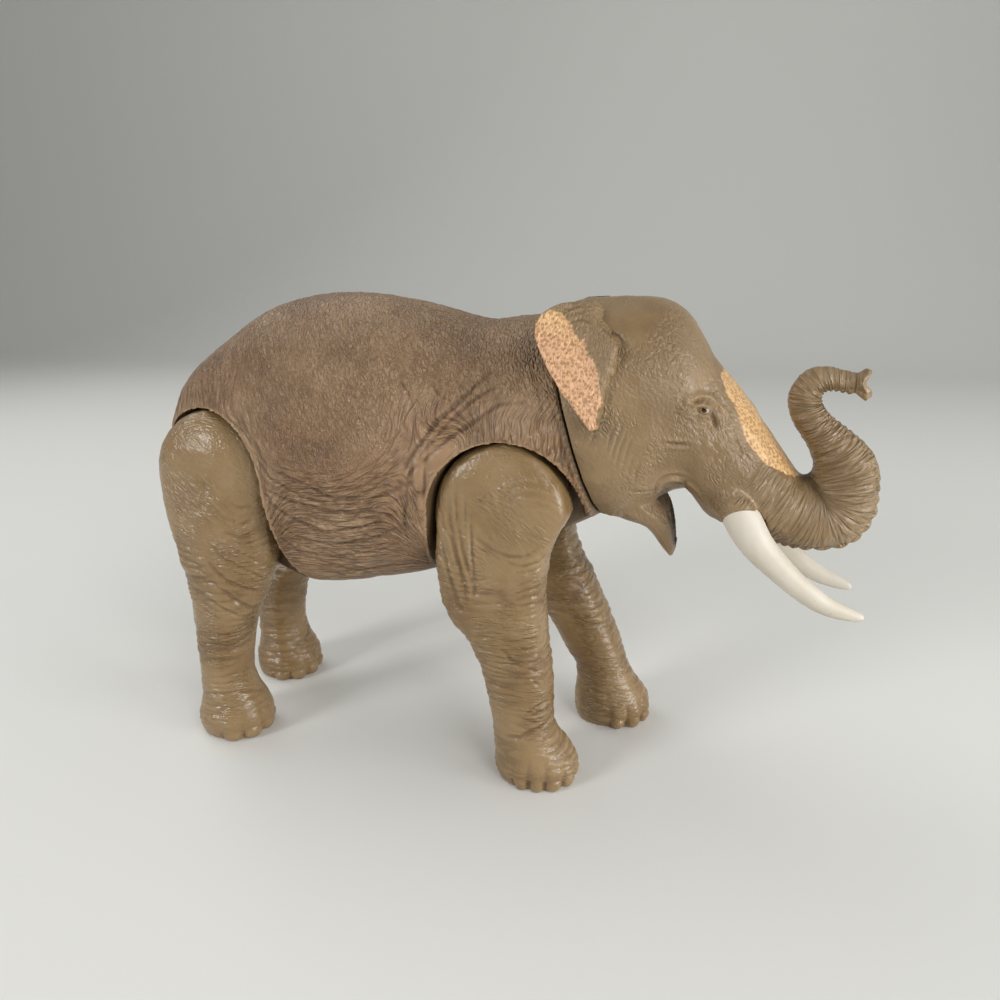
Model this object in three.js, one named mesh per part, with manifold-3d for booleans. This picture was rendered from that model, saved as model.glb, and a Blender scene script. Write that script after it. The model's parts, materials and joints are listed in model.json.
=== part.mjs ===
// A jointed toy figure of an Asian elephant, in millimetres.
// +X is the way it walks, +Y its left side, +Z up, and it stands on Z = 0.
// Lengths along the body are measured from the back of the rump until the last step centres the figure.
import * as THREE from "three";
import { mergeVertices } from "three/addons/utils/BufferGeometryUtils.js";
import Module from "manifold-3d";

const wasm = await Module();
wasm.setup();

// Torso
const TORSO_LENGTH = 172;
const BACK_HEIGHT = 173.2;
const TORSO_WIDTH = 79;
const SHELL_WALL = 2.4;
const PARTING_GAP = 0.3;
const POST_RADIUS = 4;
const PEG_RADIUS = 1.8;
const PEG_LENGTH = 4;

// Gaps between pieces
const SEAT_GAP = 0.3;
const RUNNING_GAP = 0.6;

// Legs
const SHOULDER_RADIUS = 24;
const HIP_RADIUS = 25;
const LEG_INSET = 1.7;
const LEG_INNER_FACE = 17;
const POCKET_FLARE_DEG = 8;

// Joint pins, their washers and screws
const PIN_RADIUS = 4;
const PIN_FLANGE_RADIUS = 9;
const PIN_FLANGE_THICKNESS = 2;
const PIN_SHANK_DEPTH = 8;
const WASHER_RADIUS = 7.5;
const WASHER_THICKNESS = 1.5;
const SCREW_RADIUS = 1.5;
const SCREW_HEAD_RADIUS = 3;
const SCREW_HEAD_THICKNESS = 1.8;
const SCREW_LENGTH = 8;
const SCREW_SLOT_WIDTH = 0.8;
const NECK_PIN_RADIUS = 6;
const NECK_FLANGE_RADIUS = 12;
const NECK_WASHER_RADIUS = 11;

// Head and trunk
const NECK_TILT_DEG = 15.2;
const HEAD_LENGTH = 60;
const HEAD_HEIGHT = 75;
const HEAD_WIDTH = 66;
const TRUNK_REACH = 44;
const TRUNK_RISE = 61;
const TRUNK_ROOT_WIDTH = 30;
const JAW_LENGTH = 27;
const JAW_DROP = 30;
const JAW_WIDTH = 36;

// Ears, tusks and tail
const EAR_HEIGHT = 39;
const EAR_LENGTH = 26;
const EAR_THICKNESS = 2.2;
const EAR_STANDOFF = 37.5;
const EAR_PEG_RADIUS = 2;
const EAR_PEG_LENGTH = 7;
const TUSK_REACH = 48;
const TUSK_DROP = 37;
const TUSK_RADIUS = 4.7;
const TUSK_SPREAD = 16;
const TAIL_LENGTH = 56;
const TAIL_RADIUS = 3;

// How finely the round forms are cut into faces
const TORSO_SIDES = 32;
const TORSO_HOLLOW_SIDES = 18;
const HEAD_SIDES = 20;
const SKULL_HOLLOW_SIDES = 14;
const JAW_SIDES = 12;
const LEG_SIDES = 18;
const TUSK_SIDES = 14;
const SMALL_SIDES = 8;
const ROD_SIDES = 14;

// Torso sections from the rump to the neck: place along the length, top, underside and widest level as
// shares of the back's height, and width as a share of the torso's width.
const torsoShares = [
  [0, 0.715, 0.65, 0.68, 0.12],
  [0.008, 0.755, 0.585, 0.67, 0.32],
  [0.028, 0.797, 0.53, 0.66, 0.5],
  [0.064, 0.844, 0.49, 0.65, 0.655],
  [0.11, 0.878, 0.46, 0.643, 0.77],
  [0.17, 0.917, 0.435, 0.633, 0.835],
  [0.24, 0.96, 0.4, 0.625, 0.9],
  [0.32, 0.987, 0.364, 0.617, 0.95],
  [0.413, 1, 0.366, 0.62, 0.987],
  [0.517, 0.996, 0.388, 0.63, 1],
  [0.61, 0.978, 0.41, 0.647, 0.987],
  [0.692, 0.957, 0.434, 0.664, 0.962],
  [0.75, 0.945, 0.457, 0.681, 0.935],
  [0.808, 0.953, 0.48, 0.704, 0.905],
  [0.855, 0.956, 0.5, 0.722, 0.87],
  [0.901, 0.961, 0.522, 0.739, 0.835],
  [0.948, 0.97, 0.545, 0.756, 0.81],
  [1, 0.979, 0.574, 0.774, 0.81],
];
const TORSO_UPPER_FULLNESS = 2;
const TORSO_LOWER_FULLNESS = 2.2;
// Shoulder, hip and neck centre along the torso and up it, and the posts that pin its halves together
// (along, up)
const SHOULDER_SHARE = 0.814;
const SHOULDER_HEIGHT_SHARE = 0.5947;
const HIP_SHARE = 0.16;
const HIP_HEIGHT_SHARE = 0.6236;
const NECK_SHARE = 0.9355;
const NECK_HEIGHT_SHARE = 0.761;
const torsoPostShares = [
  [0.24, 0.86],
  [0.45, 0.5],
  [0.5, 0.88],
  [0.7, 0.84],
];

// Leg sections from the sole to the level of the joint: height as a share of the joint's height, half
// depth as a share of the joint disc's radius, inner and outer side as shares of half the stance.
const frontLegShares = [
  [0, 0.57, 0.31, 0.9],
  [0.022, 0.625, 0.28, 0.935],
  [0.055, 0.65, 0.265, 0.955],
  [0.09, 0.64, 0.27, 0.955],
  [0.131, 0.585, 0.3, 0.93],
  [0.17, 0.51, 0.33, 0.905],
  [0.223, 0.467, 0.345, 0.885],
  [0.3, 0.5, 0.34, 0.9],
  [0.38, 0.52, 0.33, 0.915],
  [0.466, 0.545, 0.33, 0.94],
  [0.548, 0.6, 0.345, 0.965],
  [0.612, 0.7, 0.37, 0.985],
  [0.68, 0.75, 0.4, 1],
  [0.767, 0.775, 0.4, 1],
  [0.854, 0.815, 0.4, 0.985],
  [0.932, 0.875, 0.4, 0.968],
  [1, 0.95, 0.4, 0.95],
];
const hindLegShares = [
  [0, 0.52, 0.32, 0.925],
  [0.02, 0.57, 0.29, 0.96],
  [0.05, 0.59, 0.278, 0.98],
  [0.085, 0.585, 0.285, 0.975],
  [0.13, 0.53, 0.315, 0.95],
  [0.171, 0.452, 0.35, 0.926],
  [0.231, 0.408, 0.365, 0.91],
  [0.305, 0.416, 0.365, 0.915],
  [0.389, 0.448, 0.35, 0.93],
  [0.472, 0.512, 0.34, 0.952],
  [0.546, 0.58, 0.345, 0.973],
  [0.611, 0.68, 0.37, 0.987],
  [0.685, 0.79, 0.4, 0.995],
  [0.778, 0.89, 0.4, 0.987],
  [0.861, 0.93, 0.4, 0.968],
  [0.935, 0.95, 0.4, 0.947],
  [1, 0.96, 0.4, 0.926],
];
// How far each section lies before the joint, as shares of the joint's height: each leg is caught at
// its own moment of the walk, with its sole flat on the ground.
const frontRightStrideShares = [
  0.083, 0.084, 0.085, 0.083, 0.072, 0.052, 0.04, 0.036, 0.029, 0.013, -0.008, -0.035,
  -0.051, -0.053, -0.05, -0.03, -0.012,
];
const frontLeftStrideShares = [
  0.293, 0.294, 0.296, 0.294, 0.286, 0.274, 0.256, 0.222, 0.188, 0.142, 0.09, 0.038,
  -0.015, -0.047, -0.05, -0.03, -0.012,
];
const hindRightStrideShares = [
  -0.057, -0.057, -0.056, -0.055, -0.05, -0.06, -0.068, -0.062, -0.05, -0.034, -0.012, 0.004,
  0.016, 0.018, 0.013, 0.009, 0.007,
];
const hindLeftStrideShares = [
  -0.09, -0.09, -0.09, -0.09, -0.09, -0.1, -0.106, -0.1, -0.086, -0.068, -0.044, -0.02,
  -0.003, 0.006, 0.009, 0.009, 0.007,
];
// The sections are near round at the foot and grow squarer up to the joint disc
const FOOT_FULLNESS = 2.2;
const FRONT_DISC_FULLNESS = 5;
const HIND_DISC_FULLNESS = 2.5;
// The outer face draws in towards the top of the joint disc by these shares of half the stance
const FRONT_DRAW_SHARE = 0.12;
const HIND_DRAW_SHARE = 0.2;
const DISC_ROWS = 6;
// How much of a quarter turn the disc's sections go up to, short of the very top
const DISC_TOP_SHARE = 0.95;
// Above these shares of the joint's height the inner side is cut flat, to run against the torso
const FRONT_FLAT_SHARE = 0.64;
const HIND_FLAT_SHARE = 0.49;

// Head sections from the neck to the root of the trunk, measured from the neck's centre: forward and up
// as shares of the head's length and height, the section's backward tilt in degrees, its rise and drop
// as shares of the head's height and its half width as a share of the head's width.
const headShares = [
  [0, 0, 15.2, 0.487, 0.475, 0.492],
  [0.1, 0.016, 10.5, 0.505, 0.497, 0.505],
  [0.235, 0.023, 5, 0.503, 0.493, 0.49],
  [0.37, 0.043, 2, 0.48, 0.455, 0.457],
  [0.485, 0.05, 0, 0.447, 0.398, 0.418],
  [0.593, 0.032, 0, 0.385, 0.35, 0.385],
  [0.677, -0.064, -3, 0.335, 0.315, 0.35],
  [0.777, -0.144, -10, 0.297, 0.3, 0.32],
  [0.877, -0.231, -20, 0.24, 0.247, 0.295],
];
const HEAD_FULLNESS = 2.15;
// How many of those sections the hollow of the skull follows
const SKULL_ROWS = 6;
const headPostShares = [
  [0.4, 0.3],
  [0.42, -0.2],
];
// Trunk sections from its root to its tip: the points where each meets the inside and the outside of
// the curl, forward and up from the trunk's origin as shares of its reach and rise.
const TRUNK_ORIGIN_FORWARD_SHARE = 0.868;
const TRUNK_ORIGIN_UP_SHARE = -0.572;
const trunkShares = [
  [0.325, 0.53, -0.03, 0.1],
  [0.4, 0.455, 0.31, 0.025],
  [0.445, 0.415, 0.5, 0],
  [0.48, 0.405, 0.71, 0.012],
  [0.51, 0.415, 0.85, 0.055],
  [0.525, 0.435, 0.94, 0.135],
  [0.53, 0.46, 0.99, 0.23],
  [0.52, 0.49, 0.995, 0.33],
  [0.495, 0.53, 0.985, 0.44],
  [0.46, 0.58, 0.93, 0.55],
  [0.405, 0.64, 0.79, 0.64],
  [0.35, 0.7, 0.64, 0.715],
  [0.315, 0.77, 0.55, 0.785],
  [0.31, 0.845, 0.53, 0.83],
  [0.345, 0.91, 0.545, 0.86],
  [0.41, 0.965, 0.585, 0.868],
  [0.49, 0.985, 0.635, 0.868],
  [0.585, 0.988, 0.69, 0.857],
  [0.68, 0.97, 0.74, 0.846],
  [0.76, 0.968, 0.79, 0.838],
  [0.835, 0.975, 0.853, 0.832],
];
// Half widths along the trunk as shares of the root's width, for its first sections; the rest are round
const trunkRootShares = [0.57, 0.49, 0.45];
// Lower jaw from inside the cheek to the tip of the lip: its points inside the mouth and on the underside,
// forward as shares of the jaw's length and up as shares of its drop, and its half width
const JAW_ORIGIN_FORWARD_SHARE = 0.115;
const JAW_ORIGIN_UP_SHARE = -0.665;
const jawShares = [
  [0.6, 1.1, 0.02, 0.56, 0.52],
  [0.79, 0.84, 0.26, 0.47, 0.47],
  [0.925, 0.64, 0.47, 0.43, 0.39],
  [0.98, 0.45, 0.62, 0.335, 0.3],
  [1, 0.28, 0.74, 0.19, 0.22],
  [0.995, 0.14, 0.835, 0.07, 0.15],
  [0.956, 0.023, 0.895, 0.01, 0.07],
];
// The hollow of the mouth in the jaw, as shares of the jaw's thickness and half width at each section
const MOUTH_DEPTH_SHARE = 0.3;
const MOUTH_WIDTH_SHARE = 0.7;
// How many of the jaw's sections at its tip the hollow leaves whole
const MOUTH_STOP_ROWS = 3;

// Ear from its top edge to its tip: the rear edge and then the root, each with its place forward and up
// from the ear's tip as shares of the ear's length and height and its distance out as a share of the
// ear's stand-off, and last how far the ear is dished between them, as a share of the same
const EAR_ORIGIN_FORWARD_SHARE = 0.145;
const EAR_ORIGIN_UP_SHARE = 0.013;
const earShares = [
  [-0.46, 0.95, 0.7, 0.02, 0.975, 0.44, 0.05],
  [-0.67, 0.87, 0.79, 0.16, 0.89, 0.6, 0.05],
  [-0.73, 0.73, 0.87, 0.22, 0.71, 0.77, 0.05],
  [-0.6, 0.53, 0.93, 0.27, 0.51, 0.87, 0.03],
  [-0.42, 0.345, 0.985, 0.31, 0.33, 0.91, 0.02],
  [-0.22, 0.17, 0.99, 0.26, 0.16, 0.945, 0],
  [-0.04, 0.01, 0.99, 0.1, 0.02, 0.95, 0],
];
const EAR_COLUMNS = 6;
const EAR_PEG_FORWARD_SHARE = 0.12;
const EAR_PEG_UP_SHARE = 0.45;
const EAR_PEG_OUT_SHARE = 0.83;

// Tusk from its root in the head to its tip: forward, down, out from the middle and radius
const TUSK_ORIGIN_FORWARD_SHARE = 0.77;
const TUSK_ORIGIN_UP_SHARE = -0.32;
const tuskShares = [
  [0.08, -0.03, 0.88, 0.85],
  [0.169, 0.164, 0.96, 0.98],
  [0.266, 0.369, 1, 0.98],
  [0.398, 0.549, 1, 0.95],
  [0.54, 0.72, 0.97, 0.87],
  [0.708, 0.882, 0.92, 0.74],
  [0.857, 0.963, 0.856, 0.58],
  [0.97, 1.005, 0.81, 0.38],
  [1, 1.015, 0.79, 0.18],
];

// Sheath of skin round the root of the tusk: forward and up from the neck, place out from the middle as
// a share of the tusks' spread, and radius as a share of the tusk's
const sheathShares = [
  [0.7, -0.13, 0.66, 1.15],
  [0.76, -0.21, 0.8, 1.38],
  [0.818, -0.292, 0.9, 1.42],
  [0.866, -0.35, 0.95, 1.34],
  [0.893, -0.388, 0.97, 1.2],
];

// Tail from its peg in the rump down to the tuft: back and down as shares of its length, and radius
const TAIL_ORIGIN_FORWARD_SHARE = 0.035;
const TAIL_ORIGIN_UP_SHARE = 0.705;
const tailShares = [
  [0, 0, 0.75],
  [0.1, 0.01, 0.85],
  [0.165, 0.06, 0.95],
  [0.19, 0.16, 0.8],
  [0.19, 0.35, 0.65],
  [0.175, 0.55, 0.55],
  [0.16, 0.74, 0.6],
  [0.155, 0.86, 0.95],
  [0.15, 0.95, 0.75],
  [0.145, 1, 0.15],
];

// Places worked out from the sizes
const HALF_STANCE = TORSO_WIDTH / 2 - LEG_INSET;
const POCKET_FLOOR = LEG_INNER_FACE - RUNNING_GAP;
const ALONG_X = new THREE.Vector3(1, 0, 0);
const ALONG_Y = new THREE.Vector3(0, 1, 0);
const ALONG_Z = new THREE.Vector3(0, 0, 1);
const SIDE_NAMES = { "-1": "right", 1: "left" };
const shoulder = onTorso(SHOULDER_SHARE, SHOULDER_HEIGHT_SHARE);
const hip = onTorso(HIP_SHARE, HIP_HEIGHT_SHARE);
const neck = onTorso(NECK_SHARE, NECK_HEIGHT_SHARE);
const neckTilt = THREE.MathUtils.degToRad(NECK_TILT_DEG);
const neckAxis = new THREE.Vector3(Math.cos(neckTilt), 0, Math.sin(neckTilt));

// A place in the torso's middle plane, from shares of its length and of the back's height
function onTorso(alongShare, upShare) {
  return new THREE.Vector3(alongShare * TORSO_LENGTH, 0, upShare * BACK_HEIGHT);
}

// A place on the head, from shares of its length and height before and above the neck's centre
function onHead(forwardShare, upShare) {
  return new THREE.Vector3(neck.x + forwardShare * HEAD_LENGTH, 0, neck.z + upShare * HEAD_HEIGHT);
}

// Solids: joining, cutting and the shapes they start from

function solidOf(geometry) {
  const bare = geometry.index ? geometry.toNonIndexed() : geometry.clone();
  bare.deleteAttribute("normal");
  bare.deleteAttribute("uv");
  const merged = mergeVertices(bare);
  return new wasm.Manifold(
    new wasm.Mesh({
      numProp: 3,
      vertProperties: merged.attributes.position.array,
      triVerts: new Uint32Array(merged.index.array),
    }),
  );
}

// A closed skin over rings of points, each ring as long as the next, with its faces out
function loft(rings) {
  const points = rings.flat();
  const sides = rings[0].length;
  const faces = [];
  for (let r = 0; r + 1 < rings.length; r++)
    for (let s = 0; s < sides; s++) {
      const next = (s + 1) % sides;
      const [a, b] = [r * sides + s, r * sides + next];
      faces.push([a, b, b + sides], [a, b + sides, a + sides]);
    }
  const last = (rings.length - 1) * sides;
  for (let s = 1; s + 1 < sides; s++) {
    faces.push([0, s + 1, s]);
    faces.push([last, last + s, last + s + 1]);
  }
  return skinned(points, faces);
}

// A closed solid from points and triangles, turned so that its faces point out
function skinned(points, faces) {
  const outward = signedVolume(points, faces) > 0;
  const order = faces.flatMap(([a, b, c]) => (outward ? [a, b, c] : [a, c, b]));
  const geometry = new THREE.BufferGeometry().setFromPoints(order.map((i) => points[i]));
  return solidOf(geometry);
}

function signedVolume(points, faces) {
  const cross = new THREE.Vector3();
  return faces.reduce((sum, [a, b, c]) => sum + points[a].dot(cross.crossVectors(points[b], points[c])), 0);
}

// A ring of points about a centre: halfWidth across the body, and rise and drop along the direction up
function ring(centre, up, rise, drop, halfWidth, sides, fullness, lowerFullness = fullness) {
  return Array.from({ length: sides }, (_, i) => {
    const angle = (Math.PI * (2 * i + 1)) / sides;
    const [c, s] = [Math.cos(angle), Math.sin(angle)];
    const power = 2 / (s > 0 ? fullness : lowerFullness);
    const sideways = Math.sign(c) * Math.abs(c) ** power * halfWidth;
    const along = Math.abs(s) ** power * (s > 0 ? rise : -drop);
    return centre.clone().addScaledVector(up, along).addScaledVector(ALONG_Y, sideways);
  });
}

// Rows of numbers with smooth ones put between them
function smoothRows(rows, steps) {
  const at = (i) => rows[Math.min(Math.max(i, 0), rows.length - 1)];
  const made = [];
  for (let i = 0; i + 1 < rows.length; i++)
    for (let step = 0; step < steps; step++) {
      const t = step / steps;
      made.push(at(i).map((p1, k) => {
        const [p0, p2, p3] = [at(i - 1)[k], at(i + 1)[k], at(i + 2)[k]];
        const slope = p2 - p0;
        const bend = 2 * p0 - 5 * p1 + 4 * p2 - p3;
        const twist = 3 * (p1 - p2) + p3 - p0;
        return p1 + (t * (slope + t * (bend + t * twist))) / 2;
      }));
    }
  made.push(rows.at(-1));
  return made;
}

// A round rod between two points
function rod(from, to, radius, sides = ROD_SIDES) {
  const span = to.clone().sub(from);
  const geometry = new THREE.CylinderGeometry(radius, radius, span.length(), sides);
  geometry.applyQuaternion(new THREE.Quaternion().setFromUnitVectors(ALONG_Y, span.clone().normalize()));
  return solidOf(geometry.translate(...from.clone().add(to).divideScalar(2).toArray()));
}

// A tapering round form along a path, grown on all sides where it cuts a socket
function taper(places, radii, sides, grow = 0) {
  const rings = places.map((place, i) => {
    const ahead = places[Math.min(i + 1, places.length - 1)];
    const behind = places[Math.max(i - 1, 0)];
    const way = ahead.clone().sub(behind).normalize();
    const up = new THREE.Vector3().crossVectors(ALONG_Y, way).normalize();
    const endward = i === 0 ? -grow : 0;
    const radius = radii[i] + grow;
    return ring(place.clone().addScaledVector(way, endward), up, radius, radius, radius, sides, 2);
  });
  return loft(rings);
}

// A sheet over a grid of points, given its thickness across the body, on the inner side of the grid
function sheet(grid, thickness) {
  const outer = grid.flat();
  const inner = outer.map((point) => across(point, point.y - thickness));
  const columns = grid[0].length;
  const faces = [];
  const quad = (a, b, c, d) => faces.push([a, b, c], [a, c, d]);
  for (let r = 0; r + 1 < grid.length; r++)
    for (let c = 0; c + 1 < columns; c++) {
      const corner = r * columns + c;
      quad(corner, corner + 1, corner + columns + 1, corner + columns);
    }
  const front = faces.length;
  for (let i = 0; i < front; i++) faces.push(faces[i].map((v) => v + outer.length).reverse());
  const last = (grid.length - 1) * columns;
  const edge = [];
  for (let c = 0; c < columns; c++) edge.push(c);
  for (let r = 1; r < grid.length; r++) edge.push(r * columns + columns - 1);
  for (let c = columns - 2; c >= 0; c--) edge.push(last + c);
  for (let r = grid.length - 2; r > 0; r--) edge.push(r * columns);
  edge.forEach((a, i) => {
    const b = edge[(i + 1) % edge.length];
    quad(b, a, a + outer.length, b + outer.length);
  });
  return skinned([...outer, ...inner], faces);
}

// A large block on one side of a plane through a point, for cutting
function beyond(point, normal) {
  const size = 2 * (TORSO_LENGTH + BACK_HEIGHT);
  const block = new THREE.BoxGeometry(size, size, size).translate(0, size / 2, 0);
  block.applyQuaternion(new THREE.Quaternion().setFromUnitVectors(ALONG_Y, normal));
  return solidOf(block.translate(...point.toArray()));
}

// The part of a solid on one side of the parting plane
function half(solid, side) {
  const start = ALONG_Y.clone().multiplyScalar((side * PARTING_GAP) / 2);
  return solid.intersect(beyond(start, ALONG_Y.clone().multiplyScalar(side)));
}

function across(point, y) {
  return new THREE.Vector3(point.x, y, point.z);
}

function joined(solids) {
  return solids.reduce((all, one) => all.add(one));
}

// Torso

function torsoForm(grow, rows, sides) {
  const rings = rows.map(([along, top, under, level, width]) => {
    const centre = onTorso(along, level);
    const rise = (top - level) * BACK_HEIGHT + grow;
    const drop = (level - under) * BACK_HEIGHT + grow;
    const halfWidth = (width * TORSO_WIDTH) / 2 + grow;
    return ring(centre, ALONG_Z, rise, drop, halfWidth, sides, TORSO_UPPER_FULLNESS, TORSO_LOWER_FULLNESS);
  });
  return loft(rings);
}

// The hollow in the flank in which the top of a leg turns: round above the joint, and open below it with
// sides that flare where the leg swings
function legPocket(joint, radius, grow, side) {
  const reach = joint.z;
  const flare = reach * Math.tan(THREE.MathUtils.degToRad(POCKET_FLARE_DEG));
  const outline = new THREE.Shape();
  const wide = radius + RUNNING_GAP + grow;
  outline.absarc(joint.x, joint.z, wide, 0, Math.PI, false);
  outline.lineTo(joint.x - wide - flare, joint.z - reach);
  outline.lineTo(joint.x + wide + flare, joint.z - reach);
  const depth = TORSO_WIDTH;
  const floor = POCKET_FLOOR - grow;
  const settings = { depth, bevelEnabled: false, curveSegments: ROD_SIDES };
  const geometry = new THREE.ExtrudeGeometry(outline, settings);
  geometry.rotateX(Math.PI / 2).translate(0, side < 0 ? -floor : floor + depth, 0);
  return solidOf(geometry);
}

function legPockets(grow) {
  return joined([-1, 1].flatMap((side) => [
    legPocket(shoulder, SHOULDER_RADIUS, grow, side),
    legPocket(hip, HIP_RADIUS, grow, side),
  ]));
}

function torsoHollow() {
  const wallPlane = neck.clone().addScaledVector(neckAxis, -(RUNNING_GAP / 2 + SHELL_WALL));
  return torsoForm(-SHELL_WALL, torsoShares.slice(2), TORSO_HOLLOW_SIDES)
    .subtract(legPockets(SHELL_WALL))
    .subtract(beyond(wallPlane, neckAxis));
}

// The hole for the neck pin, through the walls on both sides of the neck
function neckHole() {
  const reach = RUNNING_GAP + 2 * SHELL_WALL;
  const [back, front] = [-reach, reach].map((place) => neck.clone().addScaledVector(neckAxis, place));
  return rod(back, front, NECK_PIN_RADIUS + SEAT_GAP);
}

// Posts inside a shell, from the parting plane out to its wall
function posts(feet, side, outside) {
  return joined(feet.map((foot) => rod(foot, across(foot, side * TORSO_WIDTH), POST_RADIUS, SMALL_SIDES)))
    .intersect(outside);
}

// One half of a shell: the right half's posts end in pegs, and the left half's in sockets for them
function pegged(shell, feet, side) {
  const slack = side < 0 ? 0 : SEAT_GAP;
  const pegs = joined(feet.map((foot) =>
    rod(across(foot, -PEG_LENGTH), across(foot, PEG_LENGTH + slack), PEG_RADIUS + slack, SMALL_SIDES)));
  return side < 0 ? half(shell, side).add(pegs) : half(shell, side).subtract(pegs);
}

// One half of the torso: a shell with pockets for the legs, holes for the joint pins and posts inside
function torsoShell(side) {
  const facePlane = neck.clone().addScaledVector(neckAxis, -RUNNING_GAP / 2);
  const outside = torsoForm(0, smoothRows(torsoShares, 2), TORSO_SIDES)
    .subtract(legPockets(0)).subtract(beyond(facePlane, neckAxis));
  const feet = torsoPostShares.map(([along, up]) => onTorso(along, up));
  const pinHoles = [shoulder, hip].map((joint) =>
    rod(across(joint, 0), across(joint, side * TORSO_WIDTH), PIN_RADIUS + SEAT_GAP));
  const shell = outside.subtract(torsoHollow()).add(posts(feet, side, outside)).subtract(joined(pinHoles))
    .subtract(neckHole()).subtract(tailForm(SEAT_GAP));
  return pegged(shell, feet, side);
}

// Tail

function tailForm(grow) {
  const rows = smoothRows(tailShares, 2);
  const start = onTorso(TAIL_ORIGIN_FORWARD_SHARE, TAIL_ORIGIN_UP_SHARE);
  const places = rows.map(([back, down]) =>
    start.clone().add(new THREE.Vector3(-back * TAIL_LENGTH, 0, -down * TAIL_LENGTH)));
  return taper(places, rows.map(([, , radius]) => radius * TAIL_RADIUS), SMALL_SIDES, grow);
}

// Head

function skullRings(grow, rows, sides) {
  return rows.map(([forward, up, tilt, rise, drop, halfWidth]) => {
    const angle = THREE.MathUtils.degToRad(tilt);
    const way = new THREE.Vector3(-Math.sin(angle), 0, Math.cos(angle));
    return ring(
      onHead(forward, up), way, rise * HEAD_HEIGHT + grow, drop * HEAD_HEIGHT + grow,
      halfWidth * HEAD_WIDTH + grow, sides, HEAD_FULLNESS);
  });
}

function trunkRings(grow) {
  const origin = onHead(TRUNK_ORIGIN_FORWARD_SHARE, TRUNK_ORIGIN_UP_SHARE);
  const place = (x, z) => origin.clone().add(new THREE.Vector3(x * TRUNK_REACH, 0, z * TRUNK_RISE));
  const rows = trunkShares.map(([innerX, innerZ, outerX, outerZ], i) => {
    const inner = place(innerX, innerZ);
    const outer = place(outerX, outerZ);
    const round = inner.distanceTo(outer) / 2;
    const halfWidth = i < trunkRootShares.length ? trunkRootShares[i] * TRUNK_ROOT_WIDTH : round;
    return [inner.x, inner.z, outer.x, outer.z, halfWidth];
  });
  return smoothRows(rows, 2).map(([innerX, innerZ, outerX, outerZ, halfWidth]) => {
    const inner = new THREE.Vector3(innerX, 0, innerZ);
    const outer = new THREE.Vector3(outerX, 0, outerZ);
    const centre = inner.clone().add(outer).divideScalar(2);
    const up = inner.clone().sub(outer).normalize();
    const reach = inner.distanceTo(outer) / 2 + grow;
    return ring(centre, up, reach, reach, halfWidth + grow, HEAD_SIDES, 2);
  });
}

// The jaw's sections: centre, direction into the mouth, half thickness and half width
function jawSections() {
  const origin = onHead(JAW_ORIGIN_FORWARD_SHARE, JAW_ORIGIN_UP_SHARE);
  const place = (x, z) => origin.clone().add(new THREE.Vector3(x * JAW_LENGTH, 0, z * JAW_DROP));
  return smoothRows(jawShares, 2).map(([innerX, innerZ, underX, underZ, width]) => {
    const inner = place(innerX, innerZ);
    const under = place(underX, underZ);
    const up = inner.clone().sub(under).normalize();
    const reach = inner.distanceTo(under) / 2;
    return { centre: inner.add(under).divideScalar(2), up, reach, halfWidth: width * JAW_WIDTH };
  });
}

function jawForm() {
  return loft(jawSections().map(({ centre, up, reach, halfWidth }) =>
    ring(centre, up, reach, reach, halfWidth, JAW_SIDES, 2)));
}

// What the mouth takes out of the jaw, leaving its rim as the lower lip
function mouthForm() {
  return loft(jawSections().slice(0, -MOUTH_STOP_ROWS).map(({ centre, up, reach, halfWidth }) => {
    const lip = centre.clone().addScaledVector(up, reach);
    const depth = 2 * MOUTH_DEPTH_SHARE * reach;
    return ring(lip, up, depth, depth, MOUTH_WIDTH_SHARE * halfWidth, JAW_SIDES, 2);
  }));
}

function headForm(grow) {
  return loft([...skullRings(grow, smoothRows(headShares, 2), HEAD_SIDES), ...trunkRings(grow)]);
}

function skullHollow() {
  const wallPlane = neck.clone().addScaledVector(neckAxis, RUNNING_GAP / 2 + SHELL_WALL);
  return loft(skullRings(-SHELL_WALL, headShares.slice(0, SKULL_ROWS), SKULL_HOLLOW_SIDES))
    .subtract(beyond(wallPlane, neckAxis.clone().negate()));
}

function earPeg(side, grow) {
  const centre = earPlace(EAR_PEG_FORWARD_SHARE, EAR_PEG_UP_SHARE);
  const outer = EAR_PEG_OUT_SHARE * EAR_STANDOFF;
  const [from, to] = [outer - EAR_PEG_LENGTH, outer].map((out) => across(centre, side * out));
  return rod(from, to, EAR_PEG_RADIUS + grow, SMALL_SIDES);
}

// One half of the head: skull, trunk and jaw in one moulding, hollow in the skull
function headShell(side) {
  const facePlane = neck.clone().addScaledVector(neckAxis, RUNNING_GAP / 2);
  const outside = headForm(0).add(jawForm().subtract(mouthForm())).add(sheathForm(side))
    .subtract(beyond(facePlane, neckAxis.clone().negate()));
  const feet = headPostShares.map(([forward, up]) => onHead(forward, up));
  const shell = outside.subtract(skullHollow()).add(posts(feet, side, outside))
    .subtract(neckHole()).subtract(tuskForm(side, SEAT_GAP)).subtract(earPeg(side, SEAT_GAP));
  return pegged(shell, feet, side);
}

// Ears

function earPlace(forwardShare, upShare) {
  const origin = onHead(EAR_ORIGIN_FORWARD_SHARE, EAR_ORIGIN_UP_SHARE);
  return origin.add(new THREE.Vector3(forwardShare * EAR_LENGTH, 0, upShare * EAR_HEIGHT));
}

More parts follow.
